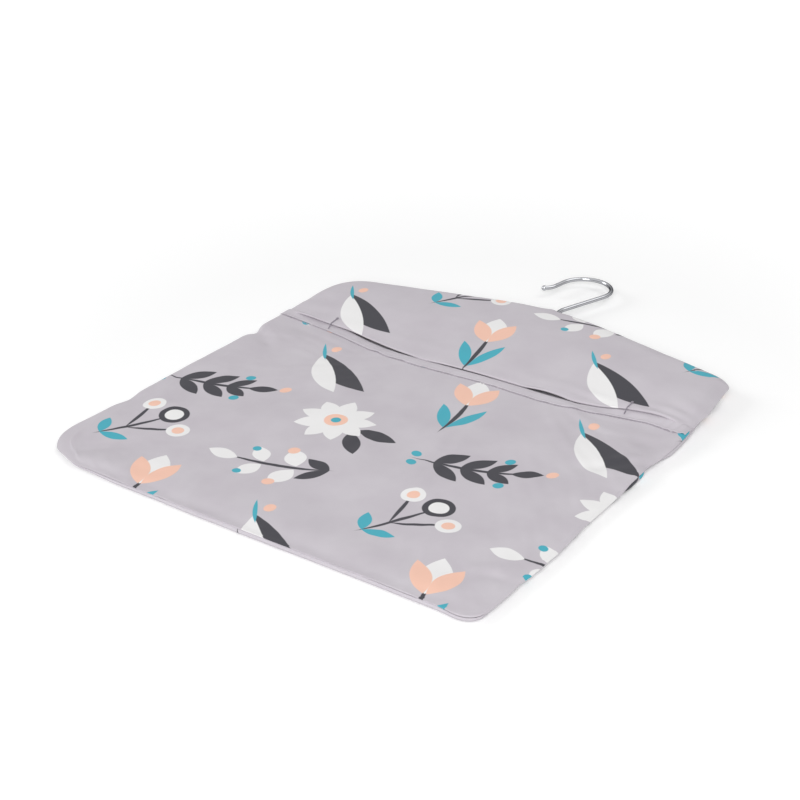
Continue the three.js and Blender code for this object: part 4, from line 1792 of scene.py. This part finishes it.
    def build(self) -> list[bpy.types.Object]:
        """Builds the cloth, lets it fall and dresses it.

        Returns:
            the pieces
        """
        self.back, self.pocket, self.yoke = self.make_back(), self.make_pocket(), self.make_yoke()
        table = self.table_stop()
        self.drape.run(self.pocket, [table])
        bpy.data.objects.remove(table)
        self.ripple(self.pocket, self.dents, self.ridge)
        self.ripple(self.yoke, self.yoke_dents, 0.0)
        self.pocket_edge = free_edge(self.pocket)
        self.yoke_edge = free_edge(self.yoke)
        self.pocket_top, self.yoke_top = ClothTop(self.pocket), ClothTop(self.yoke)
        self.turn_hem(self.yoke)
        for piece in (self.back, self.pocket, self.yoke):
            dress(piece, PRINTED_COTTON, COTTON_REVERSE)
            thicken(piece)
        return [self.back, self.pocket, self.yoke]


def free_edge(piece: bpy.types.Object) -> list[Vector]:
    """The points of a panel's free edge, from left to right.

    Args:
        piece: the panel

    Returns:
        the points
    """
    mesh = piece.data
    along = mesh.attributes[ClothPanel.ALONG].data
    maker = bmesh.new()
    maker.from_mesh(mesh)
    edges = [e for e in maker.edges if e.is_boundary and any(along[v.index].value < 0 for v in e.verts)]
    points = {v.index: v.co.copy() for e in edges for v in e.verts}
    maker.free()
    return sorted(points.values(), key=lambda point: point.x)


def height_on(edge: Sequence[Vector], x: float) -> float:
    """How far up the bag a free edge lies at a place across it.

    Args:
        edge: the free edge's points
        x: the place across the bag

    Returns:
        its y
    """
    i = min(max(bisect.bisect_right([point.x for point in edge], x), 1), len(edge) - 1)
    low, high = edge[i - 1], edge[i]
    share = min(max((x - low.x) / (high.x - low.x), 0.0), 1.0)
    return mix(low.y, high.y, share)


def add_stitch(maker: bmesh.types.BMesh, start: Vector, end: Vector, normal: Vector, thread: float) -> None:
    """Adds one stitch of thread, which sinks into the cloth at both ends.

    Args:
        maker: the bmesh that gets it
        start: where it comes out
        end: where it goes in
        normal: the cloth's normal
        thread: width of the thread
    """
    run = end - start
    way = run.normalized()
    side = normal.cross(way).normalized()
    top = way.cross(side)
    turn = Matrix((way, side, top)).transposed().to_4x4()
    size = Matrix.Diagonal((run.length / 2, thread / 2, thread / 2, 1))
    matrix = Matrix.Translation((start + end) / 2) @ turn @ size
    bmesh.ops.create_uvsphere(maker, u_segments=6, v_segments=8, radius=1, matrix=matrix)


@dataclass
class MouthBinding:
    """The plain strip folded over the pocket's top edge, and its row of stitches."""

    bag: Bag
    width: float = 11 * MM
    lift: float = 0.95 * MM  # outer face of the strip above the pocket's outer face
    under: float = -1.75 * MM  # its other face, inside the bag
    column: float = 2.0 * MM
    pucker: float = 0.7 * MM  # height of the gathers at its right end
    pucker_start: float = 148 * MM
    pucker_length: float = 6.5 * MM
    end_gap: float = 1.2 * MM  # from its ends to the side seams
    stitch_below: float = 0.35 * MM  # from its lower edge to the stitches
    stitch_pitch: float = 3.0 * MM
    stitch_length: float = 2.6 * MM
    stitch_end: float = 171 * MM
    thread: float = 0.6 * MM
    knot: float = 2.4  # size of the last stitch over the others
    # The turned-in lower edge: distances up from it and how far the strip stands out there, in millimetres
    BEAD: ClassVar = ((0.0, -0.15), (0.5, 0.25), (1.4, 0.2), (2.6, -0.1))

    def section(self) -> list[tuple[float, float]]:
        """The strip's section from its outer edge over the fold, as distances below the edge and lifts.

        Returns:
            the places in the section
        """
        outside = [(self.width - up * MM, self.lift + rise * MM) for up, rise in self.BEAD]
        outside += [(6 * MM, self.lift), (2 * MM, self.lift + 0.1 * MM)]
        middle, radius = (self.lift + self.under) / 2, (self.lift - self.under) / 2
        turns = [math.pi * k / 6 for k in range(7)]
        fold = [(-radius * math.sin(turn), middle + radius * math.cos(turn)) for turn in turns]
        return outside + fold + [(4 * MM, self.under), (self.width, self.under)]

    def build(self) -> list[bpy.types.Object]:
        """Builds the strip and its stitches.

        Returns:
            the two pieces
        """
        section = self.section()
        reach = self.bag.half - self.end_gap
        columns = round(2 * reach / self.column)
        maker = bmesh.new()
        bmesh.ops.create_grid(maker, x_segments=columns, y_segments=len(section) - 1, size=0.5)
        flat = maker.verts.layers.float_vector.new(CLOTH_PLACE)
        for vert in maker.verts:
            x = vert.co.x * 2 * reach
            below, lift = section[round((vert.co.y + 0.5) * (len(section) - 1))]
            vert.co = self.point(x, below, lift)
            vert[flat] = Vector((x, below, 0))
        bmesh.ops.recalc_face_normals(maker, faces=maker.faces)
        outer = max(maker.faces, key=lambda face: face.calc_center_median().z)
        if outer.normal.z < 0:
            bmesh.ops.reverse_faces(maker, faces=maker.faces)
        strip = new_object("binding_strip", maker)
        dress(strip, PLAIN_COTTON, PLAIN_COTTON)
        stitches = self.stitches()
        thicken(strip)
        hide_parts("mouth_binding")
        return [strip, stitches]

    def point(self, x: float, below: float, lift: float) -> Vector:
        """A point of the strip, from its place across the bag and its place in the section.

        Args:
            x: the place across the bag
            below: the distance below the edge
            lift: the lift

        Returns:
            the point
        """
        top = self.bag.pocket_top
        edge_y = height_on(self.bag.pocket_edge, x)
        gather = smooth(x, self.pucker_start, self.bag.half - 8 * MM) * smooth(lift, 0, self.lift)
        lift += self.pucker * gather * math.sin(math.tau * (x + 0.3 * below) / self.pucker_length)
        if below > 0:
            return top.lay(x, edge_y - below, lift)[0]
        crest, normal = top.lay(x, edge_y - 0.3 * MM)
        lower, _ = top.lay(x, edge_y - 4 * MM)
        return crest + (crest - lower).normalized() * -below + normal * lift

    def stitches(self) -> bpy.types.Object:
        """The row of stitches at the foot of the strip, with a knot at its right end.

        Returns:
            the stitches
        """
        maker = bmesh.new()
        first = self.end_gap + 4 * MM - self.bag.half
        count = round((self.stitch_end - first) / self.stitch_pitch)
        for k in range(count + 1):
            x = mix(first, self.stitch_end, k / count)
            ends = []
            for end_x in (x - self.stitch_length / 2, x + self.stitch_length / 2):
                y = height_on(self.bag.pocket_edge, end_x) - self.width - self.stitch_below
                ends.append(self.bag.pocket_top.lay(end_x, y, 0.15 * MM))
            size = self.knot if k == count else 1
            add_stitch(maker, ends[0][0], ends[1][0], ends[0][1], self.thread * size)
        piece = new_object("binding_stitches", maker)
        dress(piece, SEAM_THREAD)
        return piece


@dataclass
class Bartack:
    """A bar of close stitches that closes one end of the mouth."""

    bag: Bag
    binding_top: ClothTop
    name: str
    node: str
    x: float
    above: float = 7 * MM
    below: float = 5 * MM  # from the yoke's edge down to its foot
    width: float = 1.0 * MM
    rows: int = 8
    thread: float = 0.5 * MM
    lift: float = 0.45 * MM

    def build(self) -> bpy.types.Object:
        """Builds the bar in two legs, below and above the yoke's edge, and the knot at its top.

        Returns:
            the bartack
        """
        edge_y = height_on(self.bag.yoke_edge, self.x)
        foot, foot_normal = self.binding_top.lay(self.x, edge_y - self.below, self.lift)
        bend, bend_normal = self.bag.yoke_top.lay(self.x, edge_y + 0.1 * MM, self.lift)
        bend -= Vector((0, self.bag.hem_fold, 0))
        head, head_normal = self.bag.yoke_top.lay(self.x, edge_y + self.above, self.lift)
        maker = bmesh.new()
        self.leg(maker, foot, bend, (foot_normal + bend_normal).normalized())
        side = self.leg(maker, bend, head, (bend_normal + head_normal).normalized())
        way = (head - bend).normalized()
        knot = head + head_normal * 0.3 * MM
        for turn in (0.3, 1.3, 2.4):
            across = (side * math.cos(turn) + way * math.sin(turn)) * 1.3 * MM
            add_stitch(maker, knot - across, knot + across, head_normal, self.thread * 1.8)
        piece = new_object(self.name, maker)
        dress(piece, BARTACK_THREAD)
        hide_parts(self.node)
        return piece

    def leg(self, maker: bmesh.types.BMesh, low: Vector, high: Vector, normal: Vector) -> Vector:
        """Adds the long core threads of one leg and the short stitches across them.

        Args:
            maker: the bmesh that gets them
            low: its lower end
            high: its upper end
            normal: the cloth's normal

        Returns:
            the way across it
        """
        way = (high - low).normalized()
        side = way.cross(normal).normalized()
        for share in (-0.3, 0.0, 0.3):
            shift = side * self.width * share
            reach = way * 0.6 * MM
            add_stitch(maker, low - reach + shift, high + reach + shift, normal, self.thread)
        for k in range(self.rows):
            middle = low.lerp(high, (k + 0.5) / self.rows) + normal * 0.25 * MM
            across = side * self.width / 2 + way * 0.4 * MM * (1 if k % 2 else -1)
            add_stitch(maker, middle - across, middle + across, normal, self.thread)
        return side


@dataclass
class TurnedEdge:
    """The doubled cloth edges turned inside along one stretch of the seam."""

    lie: Lie
    tops: Sequence[ClothTop]  # the front panels that lie over it
    name: str
    node: str
    start: float
    end: float
    depth: float = 5.6 * MM
    inset: float = 1.9 * MM
    thickness: float = 1.3 * MM
    drop: float = 0.2 * MM  # below the seam line
    clearance: float = 0.25 * MM  # to the front cloth above it
    step: float = 5 * MM

    def build(self) -> bpy.types.Object:
        """Builds the strip that both edges make.

        Returns:
            the strip
        """
        columns = round((self.end - self.start) / self.step)
        maker = bmesh.new()
        bmesh.ops.create_grid(maker, x_segments=columns, y_segments=3, size=0.5)
        flat = maker.verts.layers.float_vector.new(CLOTH_PLACE)
        for vert in maker.verts:
            along = mix(self.start, self.end, vert.co.x + 0.5)
            deep = self.inset + self.depth * (vert.co.y + 0.5)
            place, normal = self.lie.path.at(along)
            rim = self.lie.rim(along)
            vert.co = place - normal * (deep + rim.shift + rim.under)
            roof = min(top.height(vert.co.x, vert.co.y) for top in self.tops)
            room = roof - CLOTH - self.thickness / 2 - self.clearance
            vert.co.z = min(rim.seam - self.drop, room)
            vert[flat] = Vector((along, deep, 0))
        bmesh.ops.recalc_face_normals(maker, faces=maker.faces)
        piece = new_object(self.name, maker)
        dress(piece, COTTON_REVERSE, COTTON_REVERSE)
        thicken(piece, self.thickness)
        piece.modifiers["thickness"].offset = 0
        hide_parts(self.node)
        return piece


@dataclass
class WireHook:
    """The hook: a riveted stem, a leaning neck, a round bend and a tail that flares out to a rounded tip."""

    wire: float = 3.5 * MM
    rise: float = 65 * MM  # middle of the bend above the bag's peak
    radius: float = 22.5 * MM
    offset: float = 7 * MM  # middle of the bend to the stem's axis
    lean: float = math.radians(18)
    neck_radius: float = 12 * MM
    bend_end: float = math.radians(172)
    tail: float = 12 * MM
    flare_radius: float = 13 * MM
    flare: float = math.radians(42)
    tip: float = 4.6 * MM
    head: float = 5.6 * MM
    head_height: float = 2 * MM
    clearance: float = 0.3 * MM  # between the washer and the riveted head
    sides: int = 28
    arc_step: float = math.radians(6)

    def build(self) -> bpy.types.Object:
        """Sweeps a circle along the wire's line and rounds both ends.

        Returns:
            the hook
        """
        washer_low, washer_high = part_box("hook_washer")
        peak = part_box("back_panel")[1].y
        bend = Vector((-self.offset, peak + self.rise, 0))
        turned = self.radius + self.neck_radius
        run = (self.radius - self.offset - turned * (1 - math.cos(self.lean))) / math.sin(self.lean)
        neck_top = bend.y - turned * math.sin(self.lean) - run * math.cos(self.lean)
        foot = washer_low.y - self.clearance - self.head_height
        maker = bmesh.new()
        across = Matrix.Rotation(math.radians(-90), 4, "X")
        start = bmesh.ops.create_circle(
            maker, cap_ends=False, radius=self.head / 2, segments=self.sides, matrix=across
        )
        bmesh.ops.translate(maker, verts=start["verts"], vec=Vector((0, foot, 0)))
        ring = list(maker.edges)
        bmesh.ops.edgeloop_fill(maker, edges=ring)
        up = Vector((0, 1, 0))
        ring = self.straight(maker, ring, up * self.head_height)
        ring = self.straight(maker, ring, Vector(), self.wire / self.head)
        ring = self.straight(maker, ring, up * (neck_top - foot - self.head_height))
        ring = self.arc(maker, ring, Vector((self.neck_radius, neck_top, 0)), -self.lean)
        ring = self.straight(maker, ring, Vector((math.sin(self.lean), math.cos(self.lean), 0)) * run)
        ring = self.arc(maker, ring, bend, self.bend_end + self.lean)
        outward = Vector((math.cos(self.bend_end), math.sin(self.bend_end), 0))
        forward = UP.cross(outward)
        ring = self.straight(maker, ring, forward * self.tail)
        flare_middle = bend + outward * (self.radius + self.flare_radius) + forward * self.tail
        ring = self.arc(maker, ring, flare_middle, -self.flare)
        forward = Matrix.Rotation(-self.flare, 3, "Z") @ forward
        ring = self.round_tip(maker, ring, forward)
        bmesh.ops.edgeloop_fill(maker, edges=ring)
        bmesh.ops.translate(maker, verts=maker.verts, vec=UP * (washer_low.z + washer_high.z) / 2)
        bmesh.ops.recalc_face_normals(maker, faces=maker.faces)
        piece = new_object("wire_hook", maker)
        dress(piece, CHROMED_WIRE)
        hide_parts("hook")
        return piece

    def straight(
        self, maker: bmesh.types.BMesh, ring: list[bmesh.types.BMEdge], move: Vector, scale: float = 1.0
    ) -> list[bmesh.types.BMEdge]:
        """Extrudes the open ring straight on and scales it about its middle, and gives the new ring.

        Args:
            maker: the hook's bmesh
            ring: the edges of the open end
            move: how far and which way
            scale: the new ring's size

        Returns:
            the new ring
        """
        made = bmesh.ops.extrude_edge_only(maker, edges=ring)["geom"]
        verts = [item for item in made if isinstance(item, bmesh.types.BMVert)]
        middle = sum((v.co for v in verts), Vector()) / len(verts)
        for vert in verts:
            vert.co = middle + (vert.co - middle) * scale + move
        return edges_between(made, set(verts))

    def arc(
        self, maker: bmesh.types.BMesh, ring: list[bmesh.types.BMEdge], centre: Vector, angle: float
    ) -> list[bmesh.types.BMEdge]:
        """Spins the open ring round a centre in the hook's plane, and gives the new ring.

        Args:
            maker: the hook's bmesh
            ring: the edges of the open end
            centre: the bend's centre
            angle: how far it turns

        Returns:
            the new ring
        """
        steps = max(3, math.ceil(abs(angle) / self.arc_step))
        geom = [*ring, *{v for e in ring for v in e.verts}]
        made = bmesh.ops.spin(
            maker, geom=geom, cent=centre, axis=UP, angle=angle, steps=steps, use_duplicate=False
        )["geom_last"]
        return [item for item in made if isinstance(item, bmesh.types.BMEdge)]

    def round_tip(
        self, maker: bmesh.types.BMesh, ring: list[bmesh.types.BMEdge], forward: Vector
    ) -> list[bmesh.types.BMEdge]:
        """Swells the wire's end to a ball and closes it, and gives the last small ring.

        Args:
            maker: the hook's bmesh
            ring: the edges of the open end
            forward: the way that the wire ends

        Returns:
            the last ring
        """
        radius = self.wire / 2
        ball = self.tip / 2
        start = math.acos(radius / ball)
        place = -ball * math.sin(start)
        for k in range(1, 9):
            turn = mix(-start, math.radians(80), k / 8)
            along, size = ball * math.sin(turn), ball * math.cos(turn)
            ring = self.straight(maker, ring, forward * (along - place), size / radius)
            place, radius = along, size
        return ring


# Studio


@dataclass(frozen=True)
class TableFinish(Finish):
    """A white table that the camera and mirrors see a little brighter than its light alone."""

    name: str = "white_table"
    lift: float = 0.1  # round the bag
    far_lift: float = 0.4  # away from it
    near: float = 0.28  # where the lift begins to grow, from the bag's middle
    far: float = 1.0

    def surface(self, tree: bpy.types.NodeTree) -> bpy.types.NodeSocket:
        """Matt white that keeps the bag's shadow.

        Args:
            tree: the material's node tree

        Returns:
            the shader's output
        """
        matt = add_node(tree, "ShaderNodeBsdfDiffuse", inputs={"Color": linear("#F8F8F8")})
        place = add_node(tree, "ShaderNodeTexCoord").outputs["Object"]
        away = add_node(tree, "ShaderNodeVectorMath", {"operation": "LENGTH"}, {0: place})
        lift = map_range(tree, away.outputs["Value"], self.near, self.far, self.lift, self.far_lift)
        glow = add_node(tree, "ShaderNodeEmission", inputs={
            "Strength": calculate(tree, "MULTIPLY", seen(tree), lift),
        })
        both = add_node(tree, "ShaderNodeAddShader", inputs={0: matt.outputs[0], 1: glow.outputs[0]})
        return both.outputs[0]


@dataclass(frozen=True)
class Studio:
    """The white table, the soft light and the camera."""

    aim_x: float = -21.5 * MM
    aim_y: float = 215.7 * MM  # above the bottom seam
    azimuth: float = math.radians(35.22)
    elevation: float = math.radians(26.42)
    distance: float = 1165 * MM
    lens: float = 70.6  # on a sensor 36 mm wide
    table_size: float = 6
    table_gap: float = 0.3 * MM  # from the table up to the frame's zero
    window_distance: float = 3.0
    window_size: float = 1.6
    window_power: float = 54.0  # in watts
    ambient: float = 0.46

    def build(self) -> None:
        """Makes the table, the lights, the world and the camera."""
        maker = bmesh.new()
        bmesh.ops.create_grid(maker, x_segments=1, y_segments=1, size=self.table_size)
        bmesh.ops.translate(maker, verts=maker.verts, vec=-UP * self.table_gap)
        table = new_object("table", maker)
        dress(table, TableFinish())
        window = bpy.data.lights.new("window", "AREA")
        window.size = self.window_size
        window.energy = self.window_power
        self.hang(window, Vector((0.39, -0.77, 0.5)) * self.window_distance)
        for name, place, angle, strength in (
            ("overhead", Vector((0.36, 0.34, 0.87)), 40, 0.44),
            ("side", Vector((-0.89, -0.25, 0.38)), 24, 0.85),
        ):
            far = bpy.data.lights.new(name, "SUN")
            far.angle = math.radians(angle)
            far.energy = strength
            self.hang(far, place)
        self.world()
        self.camera()

    def hang(self, data: bpy.types.Light, place: Vector) -> None:
        """Hangs a lamp at a place and points it at the bag.

        Args:
            data: the lamp
            place: where it hangs
        """
        lamp = bpy.data.objects.new(data.name, data)
        lamp.location = place
        lamp.rotation_mode = "QUATERNION"
        lamp.rotation_quaternion = (-place).to_track_quat("-Z", "Y")
        bpy.context.scene.collection.objects.link(lamp)

    def world(self) -> None:
        """Even light from all sides, which mirrors see white overhead and grey towards the horizon."""
        scene = bpy.context.scene
        scene.view_settings.view_transform = "Standard"
        scene.world = bpy.data.worlds.new("studio")
        scene.world.use_nodes = True
        tree = scene.world.node_tree
        tree.nodes.clear()
        way = add_node(tree, "ShaderNodeTexCoord").outputs["Generated"]
        rise = add_node(tree, "ShaderNodeSeparateXYZ", inputs={0: way}).outputs[2]
        mirrored = map_range(tree, rise, 0.15, 0.6, to_low=0.3)
        sky = add_node(tree, "ShaderNodeBackground", inputs={
            "Color": (1, 1, 1, 1),
            "Strength": map_range(tree, seen(tree), to_low=self.ambient, to_high=mirrored),
        })
        add_node(tree, "ShaderNodeOutputWorld", inputs={0: sky.outputs[0]})

    def camera(self) -> None:
        """The camera at the photograph's angle."""
        back = Vector((
            math.sin(self.azimuth) * math.cos(self.elevation),
            -math.cos(self.azimuth) * math.cos(self.elevation),
            math.sin(self.elevation),
        ))
        data = bpy.data.cameras.new("camera")
        data.lens = self.lens
        data.sensor_width = 36
        data.clip_start = 0.05
        camera = bpy.data.objects.new("camera", data)
        target = Vector((self.aim_x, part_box("back_panel")[0].y + self.aim_y, 0))
        camera.location = target + back * self.distance
        camera.rotation_mode = "QUATERNION"
        camera.rotation_quaternion = (-back).to_track_quat("-Z", "Y")
        bpy.context.scene.collection.objects.link(camera)
        bpy.context.scene.camera = camera


def main() -> None:
    """Builds the bag and the studio in order."""
    logging.basicConfig(level=logging.INFO)
    Studio().build()
    bag = Bag()
    cloth = bag.build()
    binding = MouthBinding(bag)
    strip, stitches = binding.build()
    binding_top = ClothTop(strip)
    pull = 3.5 * MM  # how far the mouth is pulled to the left
    bartacks = []
    for node in ("bartack_left", "bartack_right"):
        middle = sum(corner.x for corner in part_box(node)) / 2
        bartacks.append(Bartack(bag, binding_top, f"{node}_thread", node, middle - pull).build())
    place = bag.path.place
    gap = 5 * MM  # from a turned edge's end to a corner
    stem_gap = 8 * MM  # from a turned edge's end to the hook's stem
    stretches = (
        ("bottom", place("bottom_left") + gap, place("bottom_right") - gap),
        ("right", place("bottom_right") + gap, place("shoulder_right") - gap),
        ("top_right", place("shoulder_right") + gap, place("peak") - stem_gap),
        ("top_left", place("peak") + stem_gap, place("shoulder_left") - gap),
        ("left", place("shoulder_left") + gap, place("bottom_left") + bag.path.total - gap),
    )
    tops = (bag.pocket_top, bag.yoke_top)
    turned = [
        TurnedEdge(bag.lie, tops, f"turned_edge_{side}", f"seam_{side}", begins, ends).build()
        for side, begins, ends in stretches
    ]
    for piece in [*cloth, strip, stitches, *bartacks, *turned]:
        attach(piece, "bag")
        LOG.info("%s: %d points", piece.name, len(piece.data.vertices))
    hook = WireHook().build()
    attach(hook, "hook")
    LOG.info("%s: %d points", hook.name, len(hook.data.vertices))
    for name, finish in (("hanger_bar", LACQUERED_BEECH), ("hook_washer", ZINC_STEEL)):
        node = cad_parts[name]
        node.data.materials.clear()
        dress(node, finish)


if __name__ == "__main__":
    main()
